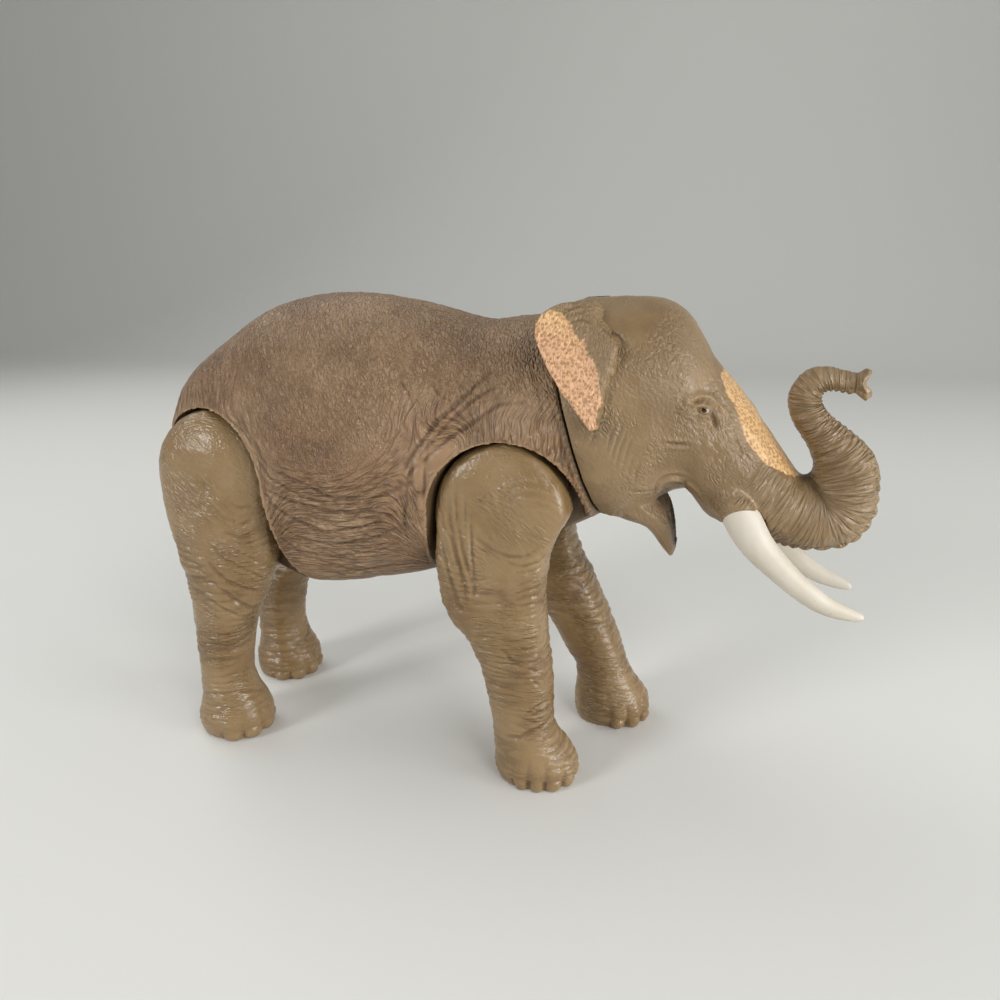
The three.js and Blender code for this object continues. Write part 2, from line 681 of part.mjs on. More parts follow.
// A thin flap from its root on the head to its free rear edge, dished between them
function ear(side) {
  const rows = smoothRows(earShares, 2).map(([rearX, rearZ, rearOff, rootX, rootZ, rootOff, dish]) =>
    Array.from({ length: EAR_COLUMNS + 1 }, (_, column) => {
      const t = column / EAR_COLUMNS;
      const place = earPlace(rearX + t * (rootX - rearX), rearZ + t * (rootZ - rearZ));
      const off = rearOff + t * (rootOff - rearOff) - dish * Math.sin(Math.PI * t);
      return across(place, side * off * EAR_STANDOFF);
    }));
  return sheet(rows, side * EAR_THICKNESS).subtract(headForm(SEAT_GAP)).add(earPeg(side, 0));
}

// Tusks

function tuskForm(side, grow) {
  const rows = smoothRows(tuskShares, 2);
  const origin = onHead(TUSK_ORIGIN_FORWARD_SHARE, TUSK_ORIGIN_UP_SHARE);
  const places = rows.map(([forward, down, out]) => {
    const step = new THREE.Vector3(forward * TUSK_REACH, side * out * TUSK_SPREAD, -down * TUSK_DROP);
    return origin.clone().add(step);
  });
  return taper(places, rows.map(([, , , radius]) => radius * TUSK_RADIUS), TUSK_SIDES, grow);
}

function sheathForm(side) {
  const rows = smoothRows(sheathShares, 2);
  const places = rows.map(([forward, up, out]) => across(onHead(forward, up), side * out * TUSK_SPREAD));
  return taper(places, rows.map(([, , , radius]) => radius * TUSK_RADIUS), TUSK_SIDES);
}

// Legs

const frontLeg = {
  joint: shoulder,
  radius: SHOULDER_RADIUS,
  shares: frontLegShares,
  strides: { "-1": frontRightStrideShares, 1: frontLeftStrideShares },
  fullness: FRONT_DISC_FULLNESS,
  draw: FRONT_DRAW_SHARE * HALF_STANCE,
  flatFrom: FRONT_FLAT_SHARE * shoulder.z,
};
const hindLeg = {
  joint: hip,
  radius: HIP_RADIUS,
  shares: hindLegShares,
  strides: { "-1": hindRightStrideShares, 1: hindLeftStrideShares },
  fullness: HIND_DISC_FULLNESS,
  draw: HIND_DRAW_SHARE * HALF_STANCE,
  flatFrom: HIND_FLAT_SHARE * hip.z,
};

function legForm({ joint, radius, shares, strides, fullness, draw }, side) {
  const rows = shares.map(([height, depth, inner, outer], i) => [
    height * joint.z,
    strides[side][i] * joint.z,
    depth * radius,
    inner * HALF_STANCE,
    outer * HALF_STANCE,
  ]);
  const [, stride, depth, inner, outer] = rows.at(-1);
  for (let i = 1; i <= DISC_ROWS; i++) {
    const angle = (DISC_TOP_SHARE * i * Math.PI) / (2 * DISC_ROWS);
    const [along, up] = [Math.cos(angle), Math.sin(angle)];
    rows.push([joint.z + radius * up, stride * along, depth * along, inner, outer - draw * up ** 3]);
  }
  const rings = rows.map(([z, forward, reach, inside, outside]) => {
    const centre = new THREE.Vector3(joint.x + forward, (side * (inside + outside)) / 2, z);
    const full = THREE.MathUtils.lerp(FOOT_FULLNESS, fullness, Math.min(z / joint.z, 1) ** 2);
    return ring(centre, ALONG_X, reach, reach, (outside - inside) / 2, LEG_SIDES, full);
  });
  return loft(rings);
}

// A leg with its inner side cut flat where it runs against the torso, and a socket for its pin
function leg(kind, side) {
  const { joint, flatFrom } = kind;
  const size = 2 * joint.z;
  const flat = new THREE.BoxGeometry(size, LEG_INNER_FACE, size);
  flat.translate(joint.x, (side * LEG_INNER_FACE) / 2, flatFrom + size / 2);
  return legForm(kind, side).subtract(solidOf(flat)).subtract(pinForm(legHingeOf(joint, side), SEAT_GAP));
}

// Joint hardware: a pin with a flange, fixed in the piece that turns, whose shaft runs through the torso's
// wall, and a washer that a screw holds on the shaft's inner end. Places are measured along the axis,
// outward from the flange's inner face.

const legHinge = {
  radius: PIN_RADIUS,
  flangeRadius: PIN_FLANGE_RADIUS,
  shank: PIN_SHANK_DEPTH,
  inward: RUNNING_GAP + SHELL_WALL + SEAT_GAP,
  washerRadius: WASHER_RADIUS,
};
const neckHinge = {
  radius: NECK_PIN_RADIUS,
  flangeRadius: NECK_FLANGE_RADIUS,
  shank: 0,
  inward: RUNNING_GAP + 2 * (SHELL_WALL + SEAT_GAP),
  washerRadius: NECK_WASHER_RADIUS,
};

function hingeOf(kind, origin, axis) {
  return { ...kind, origin, axis };
}

function legHingeOf(joint, side) {
  return hingeOf(legHinge, across(joint, side * LEG_INNER_FACE), ALONG_Y.clone().multiplyScalar(side));
}

function neckHingeOf() {
  const flangeFace = RUNNING_GAP / 2 + SHELL_WALL + SEAT_GAP;
  return hingeOf(neckHinge, neck.clone().addScaledVector(neckAxis, flangeFace), neckAxis);
}

// A turned form along a hinge's axis, from a radius at each of its places in order
function turned(hinge, steps) {
  const turn = new THREE.Quaternion().setFromUnitVectors(ALONG_Y, hinge.axis);
  return loft(steps.map(([place, radius]) =>
    Array.from({ length: ROD_SIDES }, (_, i) => {
      const angle = (2 * Math.PI * i) / ROD_SIDES;
      const point = new THREE.Vector3(radius * Math.cos(angle), place, radius * Math.sin(angle));
      return point.applyQuaternion(turn).add(hinge.origin);
    })));
}

function pinForm(hinge, grow) {
  const flangeTop = PIN_FLANGE_THICKNESS + grow;
  const shank = hinge.shank > 0
    ? [[flangeTop, hinge.radius + grow], [flangeTop + hinge.shank, hinge.radius + grow]]
    : [];
  return turned(hinge, [
    [-hinge.inward, hinge.radius + grow],
    [-grow, hinge.radius + grow],
    [-grow, hinge.flangeRadius + grow],
    [flangeTop, hinge.flangeRadius + grow],
    ...shank,
  ]);
}

function washerPlaces(hinge) {
  const outer = -hinge.inward - SEAT_GAP;
  return [outer - WASHER_THICKNESS, outer];
}

function screwForm(hinge, grow) {
  const seat = washerPlaces(hinge)[0] - SEAT_GAP;
  return turned(hinge, [
    [seat - SCREW_HEAD_THICKNESS, SCREW_HEAD_RADIUS],
    [seat, SCREW_HEAD_RADIUS],
    [seat, SCREW_RADIUS + grow],
    [seat + SCREW_LENGTH + grow, SCREW_RADIUS + grow],
  ]);
}

function pin(hinge) {
  return pinForm(hinge, 0).subtract(screwForm(hinge, SEAT_GAP));
}

function washer(hinge) {
  const [from, to] = washerPlaces(hinge);
  return turned(hinge, [[from, hinge.washerRadius], [to, hinge.washerRadius]])
    .subtract(screwForm(hinge, SEAT_GAP));
}

// A screw with a straight slot across its head
function screw(hinge) {
  const slotFloor = washerPlaces(hinge)[0] - SEAT_GAP - SCREW_HEAD_THICKNESS / 2;
  const slot = new THREE.BoxGeometry(2 * WASHER_RADIUS, SCREW_HEAD_THICKNESS, SCREW_SLOT_WIDTH);
  slot.translate(0, -SCREW_HEAD_THICKNESS / 2, 0);
  slot.applyQuaternion(new THREE.Quaternion().setFromUnitVectors(ALONG_Y, hinge.axis));
  slot.translate(...hinge.origin.clone().addScaledVector(hinge.axis, slotFloor).toArray());
  return screwForm(hinge, 0).subtract(solidOf(slot));
}

// The figure

function plastic(name, color, roughness) {
  return new THREE.MeshStandardMaterial({ name, color, roughness });
}

const skin = plastic("skin", 0x876b53, 0.62);
const legSkin = plastic("leg_skin", 0x846e50, 0.42);
const ivory = plastic("ivory", 0xf2e8da, 0.5);
const hardPlastic = plastic("joint_plastic", 0x3a332c, 0.5);
const steel = plastic("steel", 0xb4b4b0, 0.35);
steel.metalness = 1;

const figure = new THREE.Group();

function addPiece(name, solid, material) {
  const { vertProperties, triVerts } = solid.getMesh();
  const geometry = new THREE.BufferGeometry();
  geometry.setAttribute("position", new THREE.BufferAttribute(vertProperties, 3));
  geometry.setIndex(new THREE.BufferAttribute(triVerts, 1));
  geometry.computeVertexNormals();
  const piece = new THREE.Mesh(geometry, material);
  piece.name = name;
  figure.add(piece);
}

function addHinge(name, hinge, end) {
  addPiece(`${name}_pin${end}`, pin(hinge), hardPlastic);
  addPiece(`${name}_washer${end}`, washer(hinge), steel);
  addPiece(`${name}_screw${end}`, screw(hinge), steel);
}

for (const side of [-1, 1]) {
  const end = `_${SIDE_NAMES[side]}`;
  addPiece(`torso_shell${end}`, torsoShell(side), skin);
  addPiece(`head_shell${end}`, headShell(side), skin);
  addPiece(`ear${end}`, ear(side), skin);
  addPiece(`tusk${end}`, tuskForm(side, 0), ivory);
  addPiece(`front_leg${end}`, leg(frontLeg, side), legSkin);
  addPiece(`hind_leg${end}`, leg(hindLeg, side), legSkin);
  addHinge("shoulder", legHingeOf(shoulder, side), end);
  addHinge("hip", legHingeOf(hip, side), end);
}
addHinge("neck", neckHingeOf(), "");
addPiece("tail", tailForm(0), skin);

// The origin is under the middle of the figure, on the floor
const extent = new THREE.Box3().setFromObject(figure);
const middle = extent.getCenter(new THREE.Vector3());
figure.position.set(-middle.x, -middle.y, -extent.min.z);

export default figure;
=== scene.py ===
# A jointed toy elephant in moulded plastic: its looks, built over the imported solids.
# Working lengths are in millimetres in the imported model's frame: +X the way it walks, +Y its left, +Z up.
import itertools
import json
import math

import bmesh
import bpy
import numpy as np
from mathutils import Matrix, Vector
from mathutils.bvhtree import BVHTree
from mathutils.kdtree import KDTree


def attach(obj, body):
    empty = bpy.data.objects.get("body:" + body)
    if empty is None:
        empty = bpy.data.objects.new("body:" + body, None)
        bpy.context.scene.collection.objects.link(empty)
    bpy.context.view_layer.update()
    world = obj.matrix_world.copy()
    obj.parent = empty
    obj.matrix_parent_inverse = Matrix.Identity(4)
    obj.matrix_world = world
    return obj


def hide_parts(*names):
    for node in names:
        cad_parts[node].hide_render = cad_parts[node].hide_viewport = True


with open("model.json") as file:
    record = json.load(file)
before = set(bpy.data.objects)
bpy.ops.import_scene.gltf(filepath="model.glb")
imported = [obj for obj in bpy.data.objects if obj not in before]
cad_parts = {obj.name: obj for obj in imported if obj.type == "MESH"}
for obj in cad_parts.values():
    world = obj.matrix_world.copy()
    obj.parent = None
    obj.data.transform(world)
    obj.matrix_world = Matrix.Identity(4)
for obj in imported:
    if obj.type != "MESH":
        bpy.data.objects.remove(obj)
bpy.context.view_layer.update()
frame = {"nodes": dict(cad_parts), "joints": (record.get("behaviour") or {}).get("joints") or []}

METRE = 1000.0
MILLIMETRE = 1 / METRE

# The camera, where the photograph was taken from
PICTURE_SIZE = 1000
FOCAL_PIXELS = 751
SENSOR_WIDTH = 36
CAMERA_PLACE = np.array([78.4, -255.9, 180.0])
CAMERA_YAW_DEG = 16.0
CAMERA_PITCH_DEG = 17.12
CAMERA_ROLL_DEG = 0.963

# How fine the skins are made, and how they are smoothed
TORSO_GRAIN = 0.59
HEAD_GRAIN = 0.46
LEG_GRAIN = 0.53
EAR_GRAIN = 0.42
SMALL_GRAIN = 0.5
SHARP_DEG = 40.0
SHARP_SMALL_DEG = 62.0
SHARP_EAR_DEG = 75.0
SHARP_CUT_DEG = 50.0
WELD_GAP = 0.001
RIM_STEP = 0.4
RIM_START = 0.3
RIM_FADE = 1.3
SEAM_REACH = 0.2
SEAM_GAP = 0.12
TINY = 1e-9
FAR = 1e9

JOINTS = {j["name"]: METRE * np.array(j["pos_m"]) for j in frame["joints"]}
SHOULDER = JOINTS["shoulder_swing_right"]
HIP = JOINTS["hip_swing_right"]
NECK = JOINTS["neck_turn"]
NECK_AXIS = np.array(next(j["axis"] for j in frame["joints"] if j["name"] == "neck_turn"))


# Random patterns, the same on every run

MASK = 0xFFFFFFFF
MIXERS = ((15, 0x2C1B3C6D), (12, 0x297A2D39))
CORNER_PRIMES = np.array([374761393, 668265263, 1442695041])
SEED_PRIME = 974634777
NEXT_DRAW = 0x9E3779B9
WARP = 0.35
WARP_PACE = 0.8
WARP_SEED = 50
PAD_POWER = 1.3
FLAT = 4


def mixed(n):
    for shift, factor in MIXERS:
        n = ((n ^ (n >> shift)) * factor) & MASK
    return n ^ (n >> MIXERS[0][0])


def scattered(corner, seed):
    """Three even random numbers from 0 to 1 for each whole-numbered corner."""
    draws = [mixed((corner @ CORNER_PRIMES + seed * SEED_PRIME) & MASK)]
    for _ in range(2):
        draws.append(mixed((draws[-1] + NEXT_DRAW) & MASK))
    return np.stack(draws, 1) / (MASK + 1)


def noise(q, seed):
    """Smooth noise from -1 to 1, in three channels."""
    base = np.floor(q).astype(np.int64)
    part = ramp(q - base, 0, 1)
    total = np.zeros((len(q), 3))
    for corner in itertools.product((0, 1), repeat=3):
        share = np.prod(np.where(np.array(corner) == 1, part, 1 - part), axis=1)
        total += share[:, None] * scattered(base + np.array(corner), seed)
    return 2 * total - 1


def cells(q, seed):
    """Distance to the nearest and to the second nearest of points scattered in unit cells."""
    base = np.floor(q).astype(np.int64)
    nearest = np.full(len(q), FAR)
    second = nearest.copy()
    for step in itertools.product((-1, 0, 1), repeat=3):
        corner = base + np.array(step)
        gap = np.linalg.norm(q - corner - scattered(corner, seed), axis=1)
        second = np.minimum(second, np.maximum(nearest, gap))
        nearest = np.minimum(nearest, gap)
    return nearest, second


def pads(q, seed, soft):
    """1 on the pads of creased skin, falling to 0 in the creases between them."""
    warped = q + WARP * noise(q * WARP_PACE, seed + WARP_SEED)
    nearest, second = cells(warped, seed)
    return 1 - np.exp(-(((second - nearest) / soft) ** PAD_POWER))


def lumps(points, size, seed):
    """Noise from -1 to 1 in lumps of a size."""
    return noise(points / size, seed)[:, 0]


def layered(points, layers):
    """A sum of lumps, each with a height, a size and a seed."""
    return sum(height * lumps(points, size, seed) for height, size, seed in layers)


def varied(points, least, more, size, seed, low, high):
    """A strength that changes from lump to lump."""
    return least + more * ramp(lumps(points, size, seed), low, high)


def ramp(value, low, high):
    """0 below low and 1 above high, smooth between them; falls where low is the higher."""
    t = np.clip((value - low) / (high - low), 0, 1)
    return t * t * (3 - 2 * t)


def hump(value, middle=0.0, width=1.0, power=2):
    """1 in the middle, falling to 0 on both sides of it; a higher power makes the top flatter."""
    return np.exp(-(np.abs((value - middle) / width) ** power))


# Camera geometry

def unit(way):
    return way / np.linalg.norm(way)


def camera_axes():
    yaw, pitch, roll = (math.radians(a) for a in (CAMERA_YAW_DEG, CAMERA_PITCH_DEG, CAMERA_ROLL_DEG))
    level = np.array([math.cos(yaw), math.sin(yaw), 0])
    ahead = np.array([-math.sin(yaw), math.cos(yaw), 0])
    up = np.array([0, 0, 1.0])
    forward = math.cos(pitch) * ahead - math.sin(pitch) * up
    down = -math.sin(pitch) * ahead - math.cos(pitch) * up
    right = math.cos(roll) * level + math.sin(roll) * down
    down = math.cos(roll) * down - math.sin(roll) * level
    return right, down, forward


RIGHT, DOWN, FORWARD = camera_axes()


def sight(pixel):
    """The direction in which the camera sees a pixel."""
    across, below = ((p - PICTURE_SIZE / 2) / FOCAL_PIXELS for p in pixel)
    return unit(FORWARD + across * RIGHT + below * DOWN)


def pictured(points):
    """Where the camera sees points, in pixels."""
    offset = points - CAMERA_PLACE
    depth = offset @ FORWARD
    return np.stack([PICTURE_SIZE / 2 + FOCAL_PIXELS * (offset @ axis) / depth for axis in (RIGHT, DOWN)], 1)


def seen_at(tree, pixel):
    """Where the camera's line of sight through a pixel meets a surface, or None."""
    return tree.ray_cast(Vector(CAMERA_PLACE), Vector(sight(pixel)))[0]


# Skins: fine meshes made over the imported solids

def welded(names):
    """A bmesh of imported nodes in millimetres, with its corners joined."""
    made = bmesh.new()
    for name in names:
        made.from_mesh(frame["nodes"][name].data)
    bmesh.ops.scale(made, vec=(METRE, METRE, METRE), verts=made.verts)
    bmesh.ops.remove_doubles(made, verts=made.verts, dist=WELD_GAP)
    return made


def rims_of(solid, sharp_deg):
    """Points along the sharp edges of a solid, without those of the parting plane."""
    found = []
    for edge in solid.edges:
        if len(edge.link_faces) != 2 or edge.calc_face_angle() < math.radians(sharp_deg):
            continue
        a, b = (np.array(v.co) for v in edge.verts)
        if max(abs(a[1]), abs(b[1])) < SEAM_REACH:
            continue
        steps = max(2, int(np.linalg.norm(b - a) / RIM_STEP))
        found += [a + (b - a) * i / steps for i in range(steps + 1)]
    return found


def linked(name, data):
    made = bpy.data.objects.new(name, data)
    bpy.context.scene.collection.objects.link(made)
    return made


def object_of(name, points, faces):
    mesh = bpy.data.meshes.new(name)
    mesh.from_pydata(points, [], faces)
    return linked(name, mesh)


def shade_smooth(made):
    made.data.polygons.foreach_set("use_smooth", [True] * len(made.data.polygons))


def remeshed(points, faces, grain):
    """Points and quads of an even mesh over a solid."""
    draft = object_of("draft", points, faces)
    voxels = draft.modifiers.new("voxels", "REMESH")
    voxels.mode = "VOXEL"
    voxels.voxel_size = grain
    voxels.adaptivity = 0
    evaluated = draft.evaluated_get(bpy.context.evaluated_depsgraph_get())
    mesh = evaluated.to_mesh()
    points = np.empty(len(mesh.vertices) * 3, np.float32)
    mesh.vertices.foreach_get("co", points)
    quads = np.empty(len(mesh.loops), np.int32)
    mesh.loops.foreach_get("vertex_index", quads)
    evaluated.to_mesh_clear()
    bpy.data.objects.remove(draft)
    return points.reshape(-1, 3).astype(float), quads.reshape(-1, 4).astype(np.int64)


def edges_of(quads):
    pairs = np.concatenate([quads[:, [k, (k + 1) % 4]] for k in range(4)])
    count = quads.max() + 1
    keys = np.unique(pairs.min(axis=1) * count + pairs.max(axis=1))
    return np.stack([keys // count, keys % count], 1)


def largest(points, quads):
    """The biggest connected part of a mesh."""
    edges = edges_of(quads)
    label = np.arange(len(points))
    while True:
        lowest = np.minimum(label[edges[:, 0]], label[edges[:, 1]])
        fresh = label.copy()
        np.minimum.at(fresh, edges[:, 0], lowest)
        np.minimum.at(fresh, edges[:, 1], lowest)
        fresh = fresh[fresh]
        if np.array_equal(fresh, label):
            break
        label = fresh
    names, counts = np.unique(label, return_counts=True)
    kept = label == names[counts.argmax()]
    place = np.cumsum(kept) - 1
    return points[kept], place[quads[kept[quads[:, 0]]]]


def nearest_gaps(points, targets):
    """How far each point is from the nearest target."""
    tree = KDTree(len(targets))
    for i, target in enumerate(targets):
        tree.insert(target, i)
    tree.balance()
    return np.array([tree.find(p)[2] for p in points])


def normals_of(points, quads):
    face = np.cross(points[quads[:, 2]] - points[quads[:, 0]], points[quads[:, 3]] - points[quads[:, 1]])
    total = np.zeros_like(points)
    for corner in range(4):
        for axis in range(3):
            total[:, axis] += np.bincount(quads[:, corner], face[:, axis], len(points))
    return total / np.maximum(np.linalg.norm(total, axis=1), TINY)[:, None]


def smoothed(points, edges, rounds, pull):
    """Points drawn towards their neighbours, each by its own pull from 0 to 1."""
    count = len(points)
    a, b = edges.T
    degree = np.bincount(a, minlength=count) + np.bincount(b, minlength=count)
    for _ in range(rounds):
        mean = np.stack([
            np.bincount(a, points[b, k], count) + np.bincount(b, points[a, k], count) for k in range(3)
        ], 1) / degree[:, None]
        points = points + (0.5 * pull)[:, None] * (mean - points)
    return points


class Skin:
    """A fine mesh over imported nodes, which is smoothed and then raised and carved along its normals."""

    def __init__(self, names, grain, rounds, sharp_deg=SHARP_DEG, plugs=(), calm=None, keep=None):
        solid = welded(names)
        rims = [p for p in rims_of(solid, sharp_deg) if keep is None or keep(p)]
        points = [tuple(v.co) for v in solid.verts]
        faces = [tuple(v.index for v in f.verts) for f in solid.faces]
        solid.free()
        points, faces = joined([(points, faces), *plugs])
        self.points, self.quads = largest(*remeshed(points, faces, grain))
        self.edges = edges_of(self.quads)
        if rims:
            self.off_rim = np.clip((nearest_gaps(self.points, rims) - RIM_START) / RIM_FADE, 0, 1)
        else:
            self.off_rim = np.ones(len(self.points))
        pull = self.off_rim if calm is None else self.off_rim * calm(self.points)
        self.points = smoothed(self.points, self.edges, rounds, pull)
        self.settle()
        self.marks = {}

    def settle(self):
        self.normals = normals_of(self.points, self.quads)

    @property
    def near(self):
        """The points as if all lay on the side that the camera sees."""
        return self.points * [1, 0, 1] - np.abs(self.points) * [0, 1, 0]

    def move(self, height):
        self.points = self.points + height[:, None] * self.normals
        self.settle()

    def soften(self, pull, rounds):
        self.points = smoothed(self.points, self.edges, rounds, pull)
        self.settle()

    def tree(self):
        return BVHTree.FromPolygons(self.points.tolist(), self.quads.tolist())


def joined(shapes):
    """One set of points and faces from several."""
    points, faces = [], []
    for more_points, more_faces in shapes:
        start = len(points)
        points += more_points
        faces += [tuple(i + start for i in f) for f in more_faces]
    return points, faces


ROD_SIDES = 28
STEEP = 0.9
UP = np.array([0, 0, 1.0])
ALONG = np.array([1.0, 0, 0])


def cylinder(start, end, radius, sides=ROD_SIDES):
    """Points and faces of a closed cylinder between two places."""
    start, end = np.array(start, float), np.array(end, float)
    way = unit(end - start)
    side = unit(np.cross(way, UP if abs(way[2]) < STEEP else ALONG))
    other = np.cross(way, side)
    ring = [
        radius * (math.cos(t) * side + math.sin(t) * other)
        for t in (2 * math.pi * i / sides for i in range(sides))
    ]
    points = [tuple(end_place + r) for end_place in (start, end) for r in ring]
    faces = [(i, (i + 1) % sides, sides + (i + 1) % sides, sides + i) for i in range(sides)]
    return points, [tuple(range(sides))[::-1], tuple(range(sides, 2 * sides)), *faces]


# Folds drawn over the photograph: lines of pixels, each with a width and a height in millimetres

FOLD_ROUNDS = 6
FOLD_ENDS = 0.03
STROKE_SHARE = 0.78
STROKE_REACH = 3.2
BANK_SHARE = 0.3
BANK_PLACE = 1.9
BANK_WIDTH = math.sqrt(0.7)


def reach_of(line):
    """How far along a line each of its points lies."""
    return np.concatenate([[0], np.cumsum(np.linalg.norm(np.diff(line, axis=0), axis=1))])


def eased(line, at, rounds):
    """A line's places at given distances along it, with its bends softened."""
    reach = reach_of(line)
    places = np.stack([np.interp(at, reach, line[:, k]) for k in range(2)], 1)
    for _ in range(rounds):
        places[1:-1] = (places[:-2] + 2 * places[1:-1] + places[2:]) / 4
    return places


def traced(tree, pixels):
    """Closely spaced points on a skin under a line of pixels."""
    line = np.array(pixels, float)
    reach = reach_of(line)[-1]
    hits = [seen_at(tree, p) for p in eased(line, np.linspace(0, reach, max(3, int(reach))), FOLD_ROUNDS)]
    return np.array([hit for hit in hits if hit is not None])


def stroke(points, line, width):
    """Distance from a drawn line in widths, and how far along it each point is, for the points near it."""
    reach = STROKE_REACH * width
    inside = np.all((points > line.min(0) - reach) & (points < line.max(0) + reach), axis=1)
    where = np.nonzero(inside)[0]
    gap = np.full(len(where), FAR)
    along = np.zeros(len(where))
    for i, spot in enumerate(line):
        here = np.linalg.norm(points[where] - spot, axis=1)
        closer = here < gap
        gap[closer] = here[closer]
        along[closer] = i / max(1, len(line) - 1)
    return where, gap / width, along


def drawn(skin, tree, folds, places=None):
    """Height of drawn folds: each a line of pixels, a width, and a height below 0 for a groove."""
    points = skin.near if places is None else places
    height = np.zeros(len(points))
    for pixels, width, rise in folds:
        line = traced(tree, pixels)
        if len(line) < 2:
            continue
        where, gap, along = stroke(points, line, width * STROKE_SHARE)
        fade = np.sqrt(np.sin(np.pi * np.clip(along, FOLD_ENDS, 1 - FOLD_ENDS)))
        height[where] += rise * fade * (hump(gap) - BANK_SHARE * hump(gap, BANK_PLACE, BANK_WIDTH))
    return height


def inside_outline(spots, outline):
    """Signed distance in pixels from an outline, above 0 inside it."""
    outline = np.array(outline, float)
    inside = np.zeros(len(spots), bool)
    gap = np.full(len(spots), FAR)
    for a, b in zip(outline, np.roll(outline, -1, axis=0)):
        crosses = (a[1] > spots[:, 1]) != (b[1] > spots[:, 1])
        slope = (b[0] - a[0]) / (b[1] - a[1]) if a[1] != b[1] else 0
        inside ^= crosses & (spots[:, 0] < a[0] + slope * (spots[:, 1] - a[1]))
        span = b - a
        t = np.clip((spots - a) @ span / max(span @ span, TINY), 0, 1)
        gap = np.minimum(gap, np.linalg.norm(spots - a - t[:, None] * span, axis=1))
    return np.where(inside, gap, -gap)


# Finished meshes

def finished(name, skin, body, nodes, material, cutters=(), side=0):
    """A piece from a skin, cut by other shapes and to one side of the parting plane, riding on its body."""
    made = object_of(name, skin.points.tolist(), skin.quads.tolist())
    blades = []
    if side:
        ends = (-HALF_SIZE, HALF_SIZE)
        sides = (side * SEAM_GAP / 2, side * HALF_SIZE)
        corners = list(itertools.product(ends, sides, ends))
        blades.append((object_of("blade", corners, BOX_FACES), "INTERSECT"))
    for points, faces in cutters:
        blades.append((object_of("blade", points, faces), "DIFFERENCE"))
    for blade, operation in blades:
        face_out(blade)
        cut = made.modifiers.new("cut", "BOOLEAN")
        cut.solver = "MANIFOLD"
        cut.operation = operation
        cut.object = blade
    mesh = bpy.data.meshes.new_from_object(made.evaluated_get(bpy.context.evaluated_depsgraph_get()))
    made.modifiers.clear()
    made.data = mesh
    for blade, _ in blades:
        bpy.data.objects.remove(blade)
    mark(made.data, skin, exact=not blades)
    made.data.transform(Matrix.Scale(MILLIMETRE, 4))
    shade_smooth(made)
    if blades:
        made.data.set_sharp_from_angle(angle=math.radians(SHARP_CUT_DEG))
    made.name = name
    made.data.name = name
    return dressed(made, body, nodes, material)


HALF_SIZE = 400
BOX_FACES = [(0, 1, 3, 2), (4, 6, 7, 5), (0, 4, 5, 1), (2, 3, 7, 6), (0, 2, 6, 4), (1, 5, 7, 3)]


def face_out(made):
    """Turns a closed mesh's faces outwards."""
    solid = bmesh.new()
    solid.from_mesh(made.data)
    bmesh.ops.recalc_face_normals(solid, faces=solid.faces)
    solid.to_mesh(made.data)
    solid.free()


def mark(mesh, skin, exact):
    """Writes a skin's marks on a mesh, by the nearest of its points."""
    if exact:
        order = np.arange(len(skin.points))
    else:
        tree = KDTree(len(skin.points))
        for i, point in enumerate(skin.points):
            tree.insert(point, i)
        tree.balance()
        order = np.array([tree.find(v.co)[1] for v in mesh.vertices])
    for name, values in skin.marks.items():
        vector = values.ndim == 2
        kind = "FLOAT_VECTOR" if vector else "FLOAT"
        attribute = mesh.attributes.new(name, kind, "POINT")
        attribute.data.foreach_set("vector" if vector else "value", values[order].astype(np.float32).ravel())


def dressed(made, body, nodes, material):
    made.data.materials.clear()
    made.data.materials.append(material)
    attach(made, body)
    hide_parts(*nodes)
    return made


# Materials: every scale is in cells to a metre

def linear(*written):
    """A shader colour from a written one, 0 to 255."""
    shares = [v / 255 for v in written]
    return (*(s / 12.92 if s <= 0.04045 else ((s + 0.055) / 1.055) ** 2.4 for s in shares), 1)


SKIN_BASE = linear(142, 110, 79)
SKIN_LIT = linear(160, 131, 99)
SKIN_DEEP = linear(80, 55, 34)
HEAD_BASE = linear(119, 96, 65)
HEAD_LIT = linear(142, 118, 85)
LEG_BASE = linear(124, 98, 62)
LEG_LIT = linear(146, 121, 86)
LEG_DEEP = linear(78, 56, 32)
# the colour of painted shade in recesses
PAINTED_SHADE = linear(62, 50, 32)
SCUFFED = linear(206, 184, 158)
PAINTS = (linear(208, 164, 118), linear(212, 164, 130))
WARM_PAINT = linear(210, 170, 118)
DOT_PAINT = linear(150, 106, 62)
IVORY = (linear(206, 198, 184), linear(196, 187, 170))
IVORY_SPECK = linear(176, 140, 108)
IRIS = linear(58, 22, 14)
PUPIL = linear(14, 9, 8)
EYE_WHITE = linear(184, 164, 142)

# For each skin its colours, its roughness, the strength and start of its dark wash with painted shade in the
# creases, and its fine creases' depth
BODY_LOOK = (SKIN_BASE, SKIN_LIT, SKIN_DEEP, 0.37, 0.65, -0.04, 0.0014)
HEAD_LOOK = (HEAD_BASE, HEAD_LIT, SKIN_DEEP, 0.34, 0.5, -0.06, 0.0011)
LEG_LOOK = (LEG_BASE, LEG_LIT, LEG_DEEP, 0.24, 0.45, -0.12, 0.001)
# how dark the creases are made: a dark wash with painted shade
CREASE_WASH_AND_SHADE = 0.2
FULL_WASH_AND_SHADE_DEPTH = -0.6
LIT_RISE = (0.02, 0.3)
LIT_SHARE = 0.5
TONE_SCALE = 38.0
TONE_SPAN = (0.3, 0.72)
WORN_SCALE = 45.0
WORN_SPAN = (0.42, 0.66)
SCUFF_SCALE = 260.0
SCUFF_EDGES = (0.74, 0.64)
SCUFF_FADE = 0.05
SCUFF_SHARE = 0.3
GLOSS_SCALE = 120.0
GLOSS_SPAN = (0.3, 0.7)
GLOSS_CHANGE = (-0.05, 0.08)
GRAIN_SCALE = 1000.0
GRAIN_SHARE = 0.18
DOT_SCALE = 800.0
DOT_SCATTER = 0.65
DOT_SIZE_SCALE = 170.0
